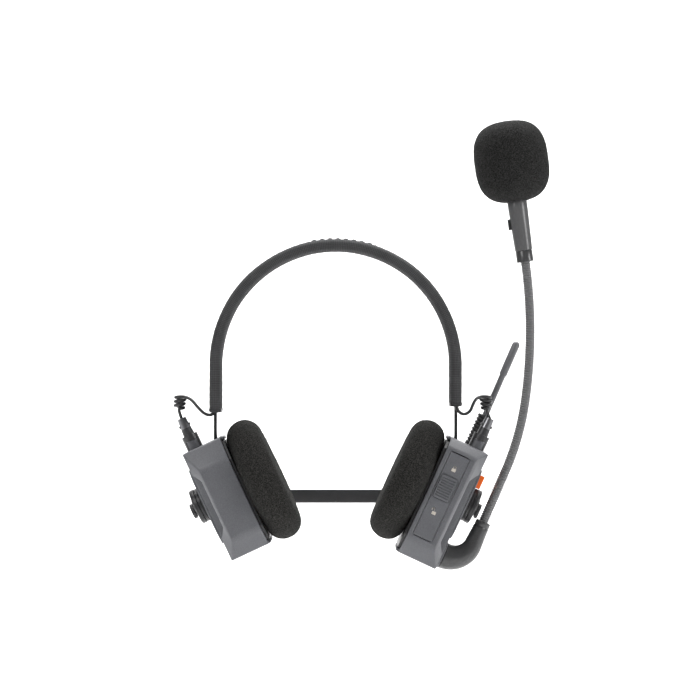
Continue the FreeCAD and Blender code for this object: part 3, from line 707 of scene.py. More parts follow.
# %% [markdown]
# ## Foam pieces
# Ear pads and windscreen are cut and pressed from open-cell foam. The plain form is turned, remeshed to
# an even skin, then a Geometry Nodes tree pushes the skin in at every pore, so the pores are real.


# %% A tree that opens pores
class Grower:
    """A Geometry Nodes tree under construction. Its inputs are named sizes and a material."""

    def __init__(self, name, sizes):
        self.tree = bpy.data.node_groups.new(name, "GeometryNodeTree")
        face = self.tree.interface
        face.new_socket("Geometry", in_out="INPUT", socket_type="NodeSocketGeometry")
        for label, value in sizes.items():
            face.new_socket(label, in_out="INPUT", socket_type="NodeSocketFloat").default_value = value
        face.new_socket("Material", in_out="INPUT", socket_type="NodeSocketMaterial")
        face.new_socket("Geometry", in_out="OUTPUT", socket_type="NodeSocketGeometry")
        self.start = self.add("NodeGroupInput").outputs

    def add(self, kind, feeds=None, **settings):
        """A node; feeds gives its inputs, by name or place, a socket or a constant."""
        made = self.tree.nodes.new(kind)
        for name, value in settings.items():
            setattr(made, name, value)
        for slot, value in (feeds or {}).items():
            if isinstance(value, bpy.types.NodeSocket):
                self.tree.links.new(value, made.inputs[slot])
            else:
                made.inputs[slot].default_value = value
        return made

    def sum_of(self, operation, a, b):
        return self.add("ShaderNodeMath", {0: a, 1: b}, operation=operation).outputs[0]

    def finish(self, shape):
        """Ends the tree: real geometry, smooth, with its material."""
        whole = self.add("GeometryNodeRealizeInstances", {0: shape})
        smooth = self.add("GeometryNodeSetShadeSmooth", {0: whole.outputs[0]})
        feeds = {"Geometry": smooth.outputs[0], "Material": self.start["Material"]}
        paint = self.add("GeometryNodeSetMaterial", feeds)
        self.add("NodeGroupOutput", {0: paint.outputs[0]})
        return self.tree


def pore_tree():
    grow = Grower("open_pores", {"Pore size": 0.8, "Depth": 0.2, "Unevenness": 0.25})
    position = grow.add("GeometryNodeInputPosition").outputs[0]
    normal = grow.add("GeometryNodeInputNormal").outputs[0]
    density = grow.sum_of("DIVIDE", 1.0 / MM, grow.start["Pore size"])
    pores = grow.add("ShaderNodeTexVoronoi", {"Vector": position, "Scale": density}, feature="F1")
    clouds = grow.add("ShaderNodeTexNoise", {"Vector": position, "Scale": 160.0})
    wall = grow.sum_of("SUBTRACT", pores.outputs["Distance"], 0.55)
    pushed = grow.sum_of("MULTIPLY", wall, grow.start["Depth"])
    uneven = grow.sum_of("SUBTRACT", clouds.outputs[0], 0.5)
    swell = grow.sum_of("MULTIPLY", uneven, grow.start["Unevenness"])
    height = grow.sum_of("MULTIPLY", grow.sum_of("ADD", pushed, swell), MM)
    offset = grow.add("ShaderNodeVectorMath", {0: normal, "Scale": height}, operation="SCALE")
    feeds = {"Geometry": grow.start[0], "Offset": offset.outputs[0]}
    return grow.finish(grow.add("GeometryNodeSetPosition", feeds).outputs[0])


def set_inputs(modifier, values):
    """Sets a modifier's inputs by the identifiers of its named sockets."""
    for item in modifier.node_group.interface.items_tree:
        if item.item_type == "SOCKET" and item.in_out == "INPUT" and item.name in values:
            modifier[item.identifier] = values[item.name]


PORES = pore_tree()


def foamed(piece, voxel, pore, depth, uneven, material):
    """Remesh a plain form to an even skin and open its pores."""
    even = piece.modifiers.new("even_skin", "REMESH")
    even.mode = "VOXEL"
    even.voxel_size = voxel
    even.use_smooth_shade = True
    baked(piece)
    holes = piece.modifiers.new("pores", "NODES")
    holes.node_group = PORES
    set_inputs(holes, {"Pore size": pore, "Depth": depth, "Unevenness": uneven, "Material": material})
    baked(piece)
    return piece


print("pore tree ready")

# %% Ear pads
PAD_R = 35.0
RIM_R = 9.7
pad_flat = PAD_R - RIM_R
for word in SIDES:
    profile = [(-RIM_R + 0.25, 0.0001), (-RIM_R + 0.25, pad_flat * 0.5), (-RIM_R, pad_flat * 0.85)]
    for step in range(25):
        angle = math.pi * step / 24
        profile.append((-RIM_R * math.cos(angle), pad_flat + RIM_R * math.sin(angle) ** 0.92))
    profile += [(RIM_R, 20.6), (3.5, 20.6), (3.5, 0.0001)]
    pad = turned(f"ear_pad_foam_{word}", profile, CUP[word], 128)
    foamed(pad, 0.52 * MM, 0.85, 0.30, 0.35, PAD_FOAM)
    dress(pad, PAD_FOAM, f"cup_{word}", "ear_foam", f"ear_pad_{word}")
    print(pad.name, len(pad.data.polygons), "faces")

# %% Windscreen
MIC_LEAN = math.radians(-7.9)
goose_end = Vector((0.10434, 0, -0.00569))
mic_up = Vector((math.sin(MIC_LEAN), 0, math.cos(MIC_LEAN)))


MIC = leaning(MIC_LEAN, goose_end + mic_up * 0.1 * MM)
SCREEN_R = 20.4
SCREEN_HALF = 22.35
SCREEN_MID = 6.3 + 49.4
profile = [(SCREEN_MID - SCREEN_HALF + 1.3, 5.65)]
for step in range(3, 49):
    angle = math.pi * step / 48 - math.pi / 2
    across, along = squared(angle, 2.8)
    profile.append((SCREEN_MID + SCREEN_HALF * along, max(0.0001, SCREEN_R * across)))
profile = [(6.3 + 28.0, 0.0001), (6.3 + 28.0, 5.65)] + profile
screen = turned("windscreen_foam", profile, MIC, 128)
foamed(screen, 0.48 * MM, 0.7, 0.26, 0.30, SCREEN_FOAM)
dress(screen, SCREEN_FOAM, "microphone", "screen_foam", "windscreen")
print(screen.name, len(screen.data.polygons), "faces")

# %% [markdown]
# ## The gooseneck
# A gooseneck is a spring-wound tube that stays where it is bent. Its turns show as close rings under a
# thin coat. The ring repeats along a path, so a Geometry Nodes tree lays one ring at every step of the
# curve, on top of a plain core.

# %% Path of the gooseneck
GOOSE_R = 2.75 * MM
GOOSE_PITCH = 1.3 * MM
START_ANGLE, MID_ANGLE, END_ANGLE = 23.5, 8.0, -7.9
LOWER_R, UPPER_R, STRAIGHT = 150 * MM, 275.3 * MM, 30 * MM
elbow_mouth = CUP["right"] @ (Vector((35.5 + 12.3, 0, -29.5 + 12.3 + 13.9)) * MM)


def goose_line(step):
    """Points along the gooseneck from just inside the elbow to the collar."""
    point = elbow_mouth - Vector((math.sin(TILT), 0, math.cos(TILT))) * 4 * MM
    line = [point.copy(), elbow_mouth.copy()]
    point = elbow_mouth.copy()
    angle = START_ANGLE
    for length, turn in (
        (STRAIGHT, 0.0),
        (LOWER_R * math.radians(START_ANGLE - MID_ANGLE), START_ANGLE - MID_ANGLE),
        (UPPER_R * math.radians(MID_ANGLE - END_ANGLE), MID_ANGLE - END_ANGLE),
    ):
        count = round(length / step)
        for i in range(count):
            lean = math.radians(angle - turn * (i + 0.5) / count)
            point = point + Vector((math.sin(lean), 0, math.cos(lean))) * (length / count)
            line.append(point)
        angle -= turn
    return line


# %% A tree that lays rings along a curve
CORE_SHARE = 0.86


def ring_tree():
    grow = Grower("rings_on_a_path", {"Radius": 2.5 * MM, "Wire radius": 0.6 * MM, "Pitch": 1.9 * MM})
    path, radius, thick = grow.start[0], grow.start["Radius"], grow.start["Wire radius"]

    def circle(points, size):
        feeds = {"Resolution": points, "Radius": size}
        return grow.add("GeometryNodeCurvePrimitiveCircle", feeds).outputs[0]

    hoop = circle(28, grow.sum_of("SUBTRACT", radius, thick))
    ring = grow.add("GeometryNodeCurveToMesh", {"Curve": hoop, "Profile Curve": circle(10, thick)})
    feeds = {"Curve": path, "Length": grow.start["Pitch"]}
    spots = grow.add("GeometryNodeCurveToPoints", feeds, mode="LENGTH").outputs
    feeds = {"Points": spots["Points"], "Instance": ring.outputs[0], "Rotation": spots["Rotation"]}
    coils = grow.add("GeometryNodeInstanceOnPoints", feeds)
    bore = circle(24, grow.sum_of("MULTIPLY", radius, CORE_SHARE))
    core = grow.add("GeometryNodeCurveToMesh", {"Curve": path, "Profile Curve": bore, "Fill Caps": True})
    join = grow.add("GeometryNodeJoinGeometry", {0: coils.outputs[0]})
    grow.tree.links.new(core.outputs[0], join.inputs[0])
    return grow.finish(join.outputs[0])


RINGS = ring_tree()


def ringed(name, line, radius, wire, pitch, material):
    """Rings along a line of points, as a plain mesh."""
    data = bpy.data.curves.new(name, "CURVE")
    data.dimensions = "3D"
    data.twist_mode = "MINIMUM"
    spline = data.splines.new("POLY")
    spline.points.add(len(line) - 1)
    for slot, point in zip(spline.points, line):
        slot.co = (*point, 1)
    path = placed(name, data)
    rings = path.modifiers.new("rings", "NODES")
    rings.node_group = RINGS
    set_inputs(rings, {"Radius": radius, "Wire radius": wire, "Pitch": pitch, "Material": material})
    return baked(path)


neck_line = goose_line(1.0 * MM)
neck = ringed("gooseneck_rings", neck_line, GOOSE_R, 0.55 * MM, GOOSE_PITCH, SPRUNG)
dress(neck, SPRUNG, None, "soft_rubber", "gooseneck_lower", "gooseneck_upper")
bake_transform(neck)
print("gooseneck faces:", len(neck.data.polygons))

# %% [markdown]
# ## The elbow
# The boom turns on a short shaft in the cup and swings up in one thick rubber elbow that tapers to the
# gooseneck. It is a skin over rings whose size shrinks round the bend, with a thin lip at its mouth.

# %% Elbow
BEND_R = 12.3
ROOT_R = 7.35
rings = []


def elbow_ring(centre, heading, radius, sides=56):
    """A ring of points square to a heading in the cup's own plane."""
    up = Vector((-heading.z, 0, heading.x))
    return [
        CUP["right"] @ ((centre + up * radius * math.cos(a) + Vector((0, radius * math.sin(a), 0))) * MM)
        for a in (math.tau * j / sides for j in range(sides))
    ]


root = Vector((35.6, 0, -29.5))
turn_centre = root + Vector((0, 0, BEND_R))
for inset, shrink in ((0.0, 0.5), (0.08, 0.22), (0.35, 0.0)):
    rings.append(elbow_ring(root + Vector((inset, 0, 0)), Vector((1, 0, 0)), ROOT_R - shrink))
BEND_STEPS = 30
for i in range(1, BEND_STEPS + 1):
    angle = math.pi / 2 * i / BEND_STEPS
    centre = turn_centre + Vector((math.sin(angle), 0, -math.cos(angle))) * BEND_R
    heading = Vector((math.cos(angle), 0, math.sin(angle)))
    rings.append(elbow_ring(centre, heading, ROOT_R - 2.3 * (i / BEND_STEPS) ** 1.3))
top = turn_centre + Vector((BEND_R, 0, 0))
MOUTH = [(2.0, 4.9), (5.0, 4.68), (9.5, 4.40), (10.6, 4.34), (10.75, 4.12), (11.15, 4.12)]
MOUTH += [(11.3, 4.32), (13.2, 4.2), (13.7, 4.05), (13.9, 3.7), (13.95, 2.75), (13.4, 2.62)]
for rise, radius in MOUTH:
    rings.append(elbow_ring(top + Vector((0, 0, rise)), Vector((0, 0, 1)), radius))
elbow = ring_skin("boom_elbow_skin", rings)
dress(elbow, SUPPLE, "boom", "soft_rubber", "boom_elbow")
print("elbow faces:", len(elbow.data.polygons))

# %% [markdown]
# ## Housings
# Each shell is a moulded eight-sided block with two long slanting faces. It is drawn as a bevelled
# block, hollowed by a smaller one, and cut where the strip, the door, the button and the boom's shaft pass.

# %% Block building
SHELL_IN, SHELL_OUT = 11.4, 33.5
SHELL_HALF, END_HALF = 27.0, 20.0
SHELL_TOP = 31.4
SHELL_BOTTOM = {"left": -32.2, "right": -37.2}
CREASES = {"left": (-22.0, 19.4), "right": (-27.0, 26.0)}
LEDGES = {"left": (-13.5, 13.7), "right": (-22.5, 14.0)}
CHAMFER_X, CHAMFER_Y = 5.3, 7.0
WALL = 1.8


def bevel(work, edges, width, segments):
    """Rounds edges of a bmesh."""
    bmesh.ops.bevel(work, geom=edges, offset=width, segments=segments, profile=0.5, affect="EDGES")


def around(centre, half):
    """A (low, high) pair."""
    return centre - half, centre + half


def eased(corners, setbacks, steps=6):
    """An outline whose corners are eased: each gives way to a short curve."""
    found = []
    for i, (corner, setback) in enumerate(zip(corners, setbacks)):
        here = Vector(corner)
        before = (Vector(corners[i - 1]) - here).normalized() * setback
        after = (Vector(corners[(i + 1) % len(corners)]) - here).normalized() * setback
        for k in range(steps + 1):
            t = k / steps
            found.append(here + before * (1 - t) ** 2 + after * t**2)
    return found


def slab(outline, low, high, axis=0, work=None):
    """A straight block along an axis over an outline of points in the two other axes."""
    if work is None:
        work = bmesh.new()
    ends = [[work.verts.new((*p[:axis], level, *p[axis:])) for p in outline] for level in (low, high)]
    work.faces.new(ends[0])
    work.faces.new(ends[1][::-1])
    count = len(outline)
    for i in range(count):
        k = (i + 1) % count
        work.faces.new((ends[0][k], ends[0][i], ends[1][i], ends[1][k]))
    bmesh.ops.recalc_face_normals(work, faces=work.faces)
    return work


def shell_block(word, x0, x1, inset, soft):
    """The eight-sided block in the cup's own axes, in millimetres, as a bmesh."""
    low, high = CREASES[word]
    top, bottom = SHELL_TOP - inset, SHELL_BOTTOM[word] + inset
    wide, end = SHELL_HALF - inset, END_HALF - inset * 0.8
    outline = [(-wide, high), (-end, top), (end, top), (wide, high)]
    outline += [(wide, low), (end, bottom), (-end, bottom), (-wide, low)]
    if soft:
        outline = eased(outline, (2.6, 1.0, 1.0, 2.6) * 2)
    work = slab(outline, x0, x1)
    length = math.hypot(CHAMFER_X, CHAMFER_Y)
    for front in (-1, 1):
        normal = Vector((CHAMFER_Y, front * CHAMFER_X, 0)) / length
        edge = Vector((SHELL_OUT - CHAMFER_X, front * SHELL_HALF, 0)) - normal * inset * 2.4
        cut = bmesh.ops.bisect_plane(
            work,
            geom=work.verts[:] + work.edges[:] + work.faces[:],
            plane_co=edge,
            plane_no=normal,
            clear_outer=True,
        )
        rim = [e for e in cut["geom_cut"] if isinstance(e, bmesh.types.BMEdge)]
        bmesh.ops.contextual_create(work, geom=rim)
    bmesh.ops.recalc_face_normals(work, faces=work.faces)
    return work


def piece_of(work, name):
    """A piece that still stands in its cup's own millimetres."""
    bmesh.ops.recalc_face_normals(work, faces=work.faces)
    mesh = bpy.data.meshes.new(name)
    work.to_mesh(mesh)
    work.free()
    return placed(name, mesh)


def ease_edges(piece, width, least=40):
    """Rounds a finished piece's sharp edges."""
    with edited(piece) as work:
        bmesh.ops.remove_doubles(work, verts=work.verts, dist=0.01)
        flat = math.radians(0.5)
        bmesh.ops.dissolve_limit(work, angle_limit=flat, verts=work.verts, edges=work.edges)
    step = piece.modifiers.new("round", "BEVEL")
    step.limit_method = "ANGLE"
    step.angle_limit = math.radians(least)
    step.width = width
    step.segments = 3
    step.use_clamp_overlap = False
    step.miter_outer = "MITER_ARC"
    return baked(piece)


def settle(piece, word):
    """Moves a finished piece from its cup's own millimetres to the frame."""
    piece.data.transform(CUP[word] @ Matrix.Scale(MM, 4))
    return sharp_by_angle(outward(piece), 28)


def soft_box(x, y, z, corner=0.0, axis=1, rim=0.0):
    """A box from (low, high) pairs; the four edges along one axis are rounded, then all the rest."""
    work = bmesh.new()
    bmesh.ops.create_cube(work, size=1.0)
    size = [b - a for a, b in (x, y, z)]
    middle = [(a + b) / 2 for a, b in (x, y, z)]
    bmesh.ops.scale(work, vec=size, verts=work.verts)
    bmesh.ops.translate(work, vec=middle, verts=work.verts)
    if corner:
        long = [e for e in work.edges if abs((e.verts[0].co - e.verts[1].co)[axis]) > 1e-6]
        bevel(work, long, corner, 5)
    if rim:
        bevel(work, [e for e in work.edges if e.calc_face_angle() > 0.5], rim, 3)
    return work


def round_bar(x, y, z, radius, axis, sides=48):
    """A cylinder along an axis, from (low, high) on that axis and the two other centres."""
    work = bmesh.new()
    spans = [x, y, z]
    low, high = spans[axis]
    size = {"radius1": radius, "radius2": radius, "depth": high - low}
    bmesh.ops.create_cone(work, cap_ends=True, segments=sides, **size)
    if axis < 2:
        bmesh.ops.transform(work, matrix=Matrix.Rotation(math.pi / 2, 4, "YX"[axis]), verts=work.verts)
    centre = [s if not isinstance(s, tuple) else (s[0] + s[1]) / 2 for s in spans]
    bmesh.ops.translate(work, vec=centre, verts=work.verts)
    return work


def carve(piece, tools, operation="DIFFERENCE"):
    """Cuts tools out of a piece, or adds them to it, one after another."""
    for tool in tools:
        other = piece_of(tool, "tool")
        step = piece.modifiers.new("cut", "BOOLEAN")
        step.operation = operation
        step.solver = "EXACT"
        step.object = other
        baked(piece)
        bpy.data.objects.remove(other)
    return piece


def recess(front, low, high):
    """A ledge beside the outer plate: it sinks the outer part of a slanting face, between oblique ends."""
    x0, x1, rise = 29.8, 35.0, 8.5
    outline = [(x0, low), (x1, low - rise), (x1, high + rise), (x0, high)]
    return slab(outline, front * 30.0, front * 20.3, 1)


# %% Make both housings
DOOR_X, DOOR_Z = (13.9, 25.2), (-24.7, 24.8)
BUTTON_Z = 15.4
SLOT_X = (11.9, 19.4)
for word in SIDES:
    shell = piece_of(shell_block(word, SHELL_IN, SHELL_OUT, 0.0, True), f"housing_shell_{word}")
    carve(shell, [recess(front, *LEDGES[word]) for front in (-1, 1)])
    bottom = SHELL_BOTTOM[word]
    lips = [
        soft_box((9.75, 12.4), (-15, 15), (SHELL_TOP - 2.0, SHELL_TOP - 0.02), 0.8, 1),
        soft_box((9.75, 12.4), (-15, 15), (bottom + 0.02, bottom + 2.0), 0.8, 1),
    ]
    if word == "right":
        lips.append(round_bar((27.5, 35.5), 0, -29.5, 7.6, 0, 72))
    carve(shell, lips, "UNION")
    inner = shell_block(word, SHELL_IN - 1, SHELL_OUT - WALL, WALL, False)
    tools = [inner, soft_box(SLOT_X, (-4.75, 4.75), (28.5, 33), 0.6, 2)]
    if word == "right":
        tools.append(soft_box(DOOR_X, (-30, -20), DOOR_Z, 1.4, 1))
        tools.append(soft_box((30, 35), around(0, 4.7), around(BUTTON_Z, 4.0), 0.9, 0))
        tools.append(round_bar((26, 36), 0, -29.5, 5.5, 0))
    carve(shell, tools)
    ease_edges(shell, 0.4)
    settle(shell, word)
    dress(shell, GREY, f"cup_{word}", "grey_plastic", f"housing_{word}")
    print(shell.name, len(shell.data.polygons), "faces")

# %% [markdown]
# ## The battery door and its latch
# The door lies flush in the front face with a hairline gap. A ribbed slider locks it, between a closed
# and an open padlock. The ribs repeat, so a loop cuts them.

# %% Door, slider and padlocks
FRONT = -27.0
LATCH_X, LATCH_Z = 19.5, 5.3
gap = 0.2
door_x = (DOOR_X[0] + gap, DOOR_X[1] - gap)
door_z = (DOOR_Z[0] + gap, DOOR_Z[1] - gap)
pin_z = door_z[0] + 1.0
door = piece_of(soft_box(door_x, (FRONT, FRONT + 2.0), (pin_z, door_z[1]), 0.4, 1), "door_panel")
KNUCKLE_R = 0.99
inset = 0.05
knuckle_x = (door_x[0] + inset, door_x[1] - inset)
knuckle = round_bar(knuckle_x, FRONT + 1.0, pin_z, KNUCKLE_R, 0, 40)
carve(door, [knuckle], "UNION")
tray = soft_box(around(LATCH_X, 4.8), (FRONT - 1, FRONT + 0.35), around(LATCH_Z, 6.9), 0.8, 1)
stem_slot = soft_box(around(LATCH_X, 2.2), (FRONT - 1, FRONT + 3), (LATCH_Z - 6.2, LATCH_Z + 2.2))
carve(door, [tray, stem_slot])
settle(door, "right")
dress(door, GREY, "door", "grey_plastic", "battery_door")

grip = soft_box(around(LATCH_X, 4.5), (FRONT - 0.95, FRONT - 0.03), around(LATCH_Z, 6.6), 0.9, 1, 0.3)
slider = piece_of(grip, "latch_grip")
ribs = []
for i in range(8):
    z = LATCH_Z - 5.0 + 10.0 * i / 7
    ribs.append(soft_box(around(LATCH_X, 3.9), (FRONT - 1.3, FRONT - 0.3), around(z, 0.36), 0.1, 0))
carve(slider, ribs)
stem = [
    soft_box(around(LATCH_X, 2.0), (FRONT - 0.2, FRONT + 2.4), around(LATCH_Z, 2.0)),
    soft_box(around(LATCH_X, 3.0), (FRONT + 2.15, FRONT + 2.9), (LATCH_Z - 3.0, 24.0)),
]
carve(slider, stem, "UNION")
settle(slider, "right")
dress(slider, GREY, "latch", "grey_plastic", "latch_slider")


def padlock(name, z, opened):
    """A small printed padlock: a body and a shackle, a hair above the door."""
    skin = (FRONT - 0.05, FRONT + 0.1)
    work = soft_box(around(LATCH_X, 1.15), skin, (z - 1.2, z + 0.6), 0.25, 1)
    lift, shift = (0.45, -1.0) if opened else (0.0, 0.0)
    base = z + 1.2 + lift
    rims = []
    for radius in (0.85, 0.5):
        arc = [math.pi * k / 10 for k in range(11)]
        bow = [(radius * math.cos(a), radius * math.sin(a)) for a in arc]
        line = [(radius, -0.55), *bow, (-radius, -0.3 - lift)]
        rims.append([(LATCH_X + shift + a, base + b) for a, b in line])
    outer, inner = rims
    for i in range(len(outer) - 1):
        slab([outer[i], outer[i + 1], inner[i + 1], inner[i]], *skin, 1, work)
    bmesh.ops.remove_doubles(work, verts=work.verts, dist=0.001)
    piece = settle(piece_of(work, name), "right")
    return dress(piece, MARK, "door", "grey_plastic")


padlock("padlock_closed", 16.3, False)
padlock("padlock_open", -9.2, True)
print("door, slider and padlocks made")

# %% [markdown]
# ## Hubs, plates and buttons
# On the outer face a thin plate carries the hub: a flange, the neckband's eye, a knurled disc and a
# screw with a cap. Turned pieces come from their profiles. The knurls repeat round the rim.

# %% Turned hub pieces
HUB_Z = 1.7
CAP_DROP = 1.3


def hub_place(word):
    return CUP[word] @ Matrix.Translation(Vector((0, 0, HUB_Z)) * MM)


KNOB_TEETH, TOOTH_DEPTH = 10, 0.45


def knurls(along, radius, angle):
    """The knob's radius where shallow teeth run round its rim."""
    tooth = max(0.0, math.cos(KNOB_TEETH * angle)) * TOOTH_DEPTH
    return radius - tooth if 41.7 <= along <= 43.35 else radius


FLANGE = [(34.7, 1.7), (34.7, 9.75), (34.8, 9.9), (35.7, 9.9), (35.9, 9.7), (35.9, 1.7)]
DISC_EDGE = [(37.9, 1.7), (37.9, 9.6), (38.0, 9.8), (39.6, 9.8), (40.1, 9.7), (40.45, 9.4), (40.6, 8.9)]
DISC_BOSS = [(40.55, 5.4), (40.7, 4.9), (41.2, 4.6), (41.4, 4.3), (41.4, 1.7)]
KNOB_RIM = [(41.6, 1.4), (41.6, 3.9), (41.75, 4.2), (43.1, 4.2), (43.4, 3.9)]
KNOB_DISH = [(43.4, 2.6), (43.0, 2.2), (43.0, 0.0001)]
for word in SIDES:
    place = hub_place(word)
    black = (BLACK, f"cup_{word}", "black_plastic")
    lathe(f"hub_flange_skin_{word}", FLANGE, place, 96, (*black, f"hub_flange_{word}"), 32)
    lathe(f"hub_disc_skin_{word}", DISC_EDGE + DISC_BOSS, place, 96, (*black, f"hub_disc_{word}"))
    lower = place @ Matrix.Translation(Vector((0, 0, -CAP_DROP)) * MM)
    knob = (*black, f"hub_screw_{word}")
    lathe(f"hub_knob_skin_{word}", KNOB_RIM + KNOB_DISH, lower, KNOB_TEETH * 6, knob, dent=knurls)
    corners = [(-13, 22), (13, 22), (19, 15), (19, -15), (13, -22), (-13, -22), (-19, -15), (-19, 15)]
    if word == "right":
        corners = [(y, max(z, -19.0)) for y, z in corners]
    plate = piece_of(slab(eased(corners, (1.8,) * 8), 33.45, 34.7), f"outer_plate_skin_{word}")
    if word == "right":
        carve(plate, [soft_box((32, 36), around(0, 4.7), around(BUTTON_Z, 4.0), 0.9, 0)])
    ease_edges(plate, 0.25)
    settle(plate, word)
    dress(plate, GREY, f"cup_{word}", "black_plastic", f"outer_plate_{word}")
cap = soft_box((32.3, 38.0), around(0, 4.5), around(BUTTON_Z, 3.8), 0.8, 0, 0.35)
button = piece_of(cap, "call_button_cap")
ribs = []
for i in range(5):
    z = BUTTON_Z - 2.4 + 1.2 * i
    ribs.append(soft_box((37.75, 38.5), around(0, 3.4), around(z, 0.25)))
carve(button, ribs)
settle(button, "right")
dress(button, ORANGE, "button", "orange_plastic", "call_button")
print("hubs, plates and button made")

# %% [markdown]
# ## Sockets, plugs and antenna
# They stand on top of the cups. A strain relief is softer towards its end, so it tapers. The antenna's
# boot has real grooves.


# %% Turned pieces that stand on the cup
JACK_X = 27.0
COLLAR = [(-3, 3.4), (0.0, 3.4), (0.0, 4.25), (4.4, 4.25), (4.7, 4.0), (4.7, 2.0), (-2.9, 2.0)]
RELIEF = [(7.9, 1.5), (7.9, 3.3), (8.3, 3.2), (11.0, 3.02), (14.0, 2.75), (17.4, 2.5), (17.9, 2.35)]
RELIEF += [(18.2, 2.0), (18.25, 0.95), (16.0, 0.95)]
for word in SIDES:
    body = f"cup_{word}"
    place = CUP[word] @ leaning(0.0, Vector((JACK_X, 0, SHELL_TOP)) * MM)
    socket = (GREY, body, "grey_plastic", f"jack_socket_{word}")
    lathe(f"jack_collar_{word}", COLLAR, place, 72, socket, 32)
    sleeve = piece_of(round_bar(JACK_X, 0, (31.55, 39.5), 4.55, 2, 72), f"plug_sleeve_{word}")
    shield = soft_box(around(JACK_X, 3.3), (-6, -1.5), (30, 36.3), 0.5, 1)
    carve(sleeve, [round_bar(JACK_X, 0, (31, 36.25), 4.3, 2, 72), shield])
    dress(settle(sleeve, word), RUBBER, body, "soft_rubber")
    lathe(f"plug_boot_{word}", RELIEF, place, 72, (RUBBER, body, "soft_rubber"))
    nubs = soft_box(around(JACK_X, 3.3), around(0, 1.4), (44.4, 45.9), 0.6, 1, 0.25)
    nubs = settle(piece_of(nubs, f"plug_nubs_{word}"), word)
    dress(nubs, RUBBER, body, "soft_rubber")
ANTENNA_FOOT = Vector((25.1, 11.0, SHELL_TOP)) * MM
foot = CUP["right"] @ leaning(math.radians(-1.45), ANTENNA_FOOT)
profile = [(0.2, 1.9), (0.2, 4.4), (1.2, 4.4)]
for i in range(8):
    base = 2.0 + 2.0 * i
    radius = 4.35 - 0.04 * i
    groove = radius - 0.55
    profile += [(base, radius), (base + 0.1, groove), (base + 0.9, groove), (base + 1.0, radius)]
profile += [(18.0, 4.0), (18.5, 3.7), (18.5, 1.8)]
lathe("antenna_boot_skin", profile, foot, 72, (RUBBER, "cup_right", "soft_rubber", "antenna_boot"))
profile = [(10, 0.6), (10, 1.75), (42.3, 1.75), (42.7, 1.85), (43.0, 2.1), (43.3, 2.2), (61.0, 2.2)]
TIP_R = 2.2
tip = (0.3, 0.6, 0.9, 1.2, 1.4, 1.5707)
profile += [(61.0 + TIP_R * math.sin(a), max(TIP_R * math.cos(a), 0.0001)) for a in tip]
lathe("antenna_whip", profile, foot, 48, (GUARD, "cup_right", "grey_plastic", "antenna_rod"))
print("sockets, plugs and antenna made")

# %% [markdown]
# ## Microphone holder
# A tapered barrel joins the gooseneck to the windscreen, with a collar below it and a small black mute
# button on its inner side.

# %% Holder and collar
RING = [(0.0, 2.6), (0.0, 4.45), (0.2, 4.67), (6.0, 4.67), (6.25, 4.5), (6.25, 2.6)]
lathe("mic_collar_skin", RING, MIC, 72, (SUPPLE, "microphone", "soft_rubber", "mic_collar"))


def fluted(along, radius, angle):
    """The barrel's radius with eight very shallow flats."""
    return radius * (1 - 0.018 * (0.5 + 0.5 * math.cos(8 * angle))) if radius > 3.7 else radius


BARREL_FOOT = [(6.35, 2.0), (6.35, 4.65), (6.5, 4.9), (12.0, 5.08), (20.0, 5.3)]
BARREL_TOP = [(28.2, 5.52), (29.5, 5.54), (33.6, 5.54), (34.0, 5.3), (34.1, 2.0)]
holder = (DARK_GREY, "microphone", "mic_plastic", "mic_holder")
lathe("mic_barrel", BARREL_FOOT + BARREL_TOP, MIC, 96, holder, dent=fluted)
print("microphone holder made")

# %% [markdown]
# ## The neckband
# A springy strap runs from hub to hub behind the neck. Each end leans with its cup and the middle stands
# upright, so the strap twists on the way.

# %% Neckband halves
NECK_HEIGHT = 7.8 * MM
NECK_THICK = 1.8 * MM
NECK_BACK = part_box("neckband")[1].y - NECK_THICK / 2
NECK_CORNER = 40 * MM - NECK_THICK / 2
EYE = [(36.0, 2.7), (36.0, 9.4), (36.2, 9.6), (37.6, 9.6), (37.8, 9.4), (37.8, 2.7)]


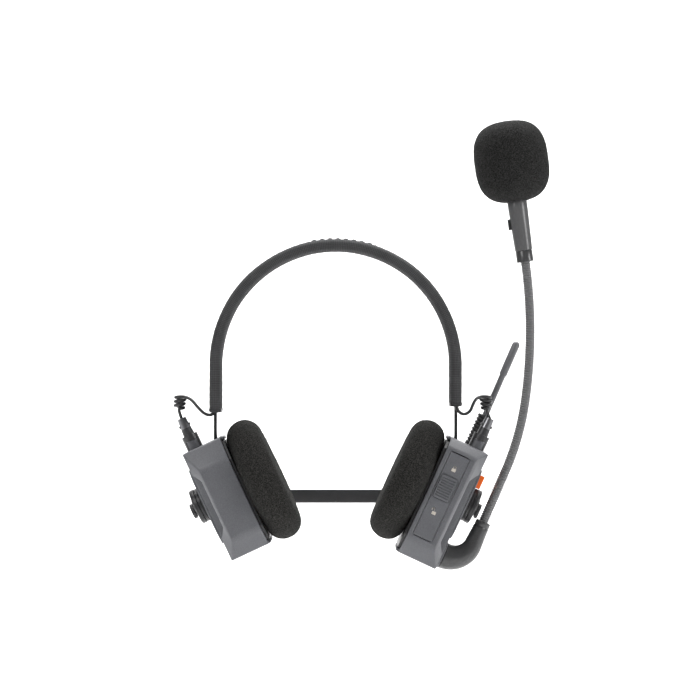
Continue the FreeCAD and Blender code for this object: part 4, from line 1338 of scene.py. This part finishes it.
def neck_path(word):
    """(point, direction along, lean) down half the strap, from its eye to the middle of the back."""
    side = SIDES[word]
    hub = CUP[word] @ (Vector((36.9, 0, HUB_Z)) * MM)
    bend_start = NECK_BACK - NECK_CORNER
    corner = abs(hub.x) - NECK_CORNER
    found = []
    y = 4 * MM
    while y < bend_start:
        found.append((Vector((hub.x, y, hub.z)), Vector((0, 1, 0))))
        y += 1.5 * MM
    for i in range(49):
        angle = math.pi / 2 * i / 48
        c, s = math.cos(angle), math.sin(angle)
        point = Vector((side * (corner + NECK_CORNER * c), bend_start + NECK_CORNER * s, hub.z))
        found.append((point, Vector((-side * s, c, 0))))
    count = round(corner / (2 * MM))
    for i in range(1, count + 1):
        found.append((Vector((side * corner * (1 - i / count), NECK_BACK, hub.z)), Vector((-side, 0, 0))))
    path = []
    for point, ahead in found:
        t = min(1.0, max(0.0, (point.y - 18 * MM) / (50 * MM)))
        path.append((point, ahead, TILT * (1 - t * t * (3 - 2 * t))))
    return path


for word, side in SIDES.items():
    rings = []
    for point, ahead, lean in neck_path(word):
        out = Vector((ahead.y * side, -ahead.x * side, 0)).normalized()
        up = Vector((0, 0, 1))
        tall = up * math.cos(lean) + out * math.sin(lean)
        flat = out * math.cos(lean) - up * math.sin(lean)
        ring = []
        for j in range(28):
            a, b = squared(math.tau * j / 28, 5.0)
            ring.append(point + flat * a * NECK_THICK / 2 + tall * b * NECK_HEIGHT / 2)
        rings.append(ring)
    strap = ring_skin(f"neck_strap_{word}", rings)
    stands = (f"neck_arm_{word}", "neckband") if word == "left" else (f"neck_arm_{word}",)
    dress(sharp_by_angle(strap, 50), BLACK, None, "black_plastic", *stands)
    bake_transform(strap)
    lathe(f"neck_eye_{word}", EYE, hub_place(word), 72, (BLACK, f"cup_{word}", "black_plastic"), 32)
print("neckband halves made")

# %% [markdown]
# ## Pieces that stay as the frame has them
# Flat strips, pins, screws and everything inside the shells are right as they are drawn. They only take
# their finishes.

# %% Finishes for carried-over nodes
FINISHES = [
    (COATED, "spring_strip headband_spring"),
    (JACKET, "headband_wire"),
    (BLACK, "end_cap strip_guide baffle button_switch boom_bearing mute_button"),
    (PLATED, "pivot_pin baffle_screws door_pin boom_clip mic_capsule plug"),
    (FRAME, "speaker"),
    (BOARD, "circuit_board"),
    (WRAP, "battery"),
]
finish_of = {base: material for material, bases in FINISHES for base in bases.split()}
for name, node in nodes.items():
    base = name.removesuffix("_left").removesuffix("_right")
    if base in finish_of:
        node.data.materials.clear()
        node.data.materials.append(finish_of[base])
print("finishes given to carried-over nodes")

# %% Floor finish
paint = Finish("pale_floor", 0.9)
tone = paint.cloud(paint.place(), 0.004, 3.0)
paint.colour(paint.between(tone, (0.88, 0.88, 0.88), (0.92, 0.92, 0.92)))
floor.data.materials.append(paint.material)
print("floor painted")
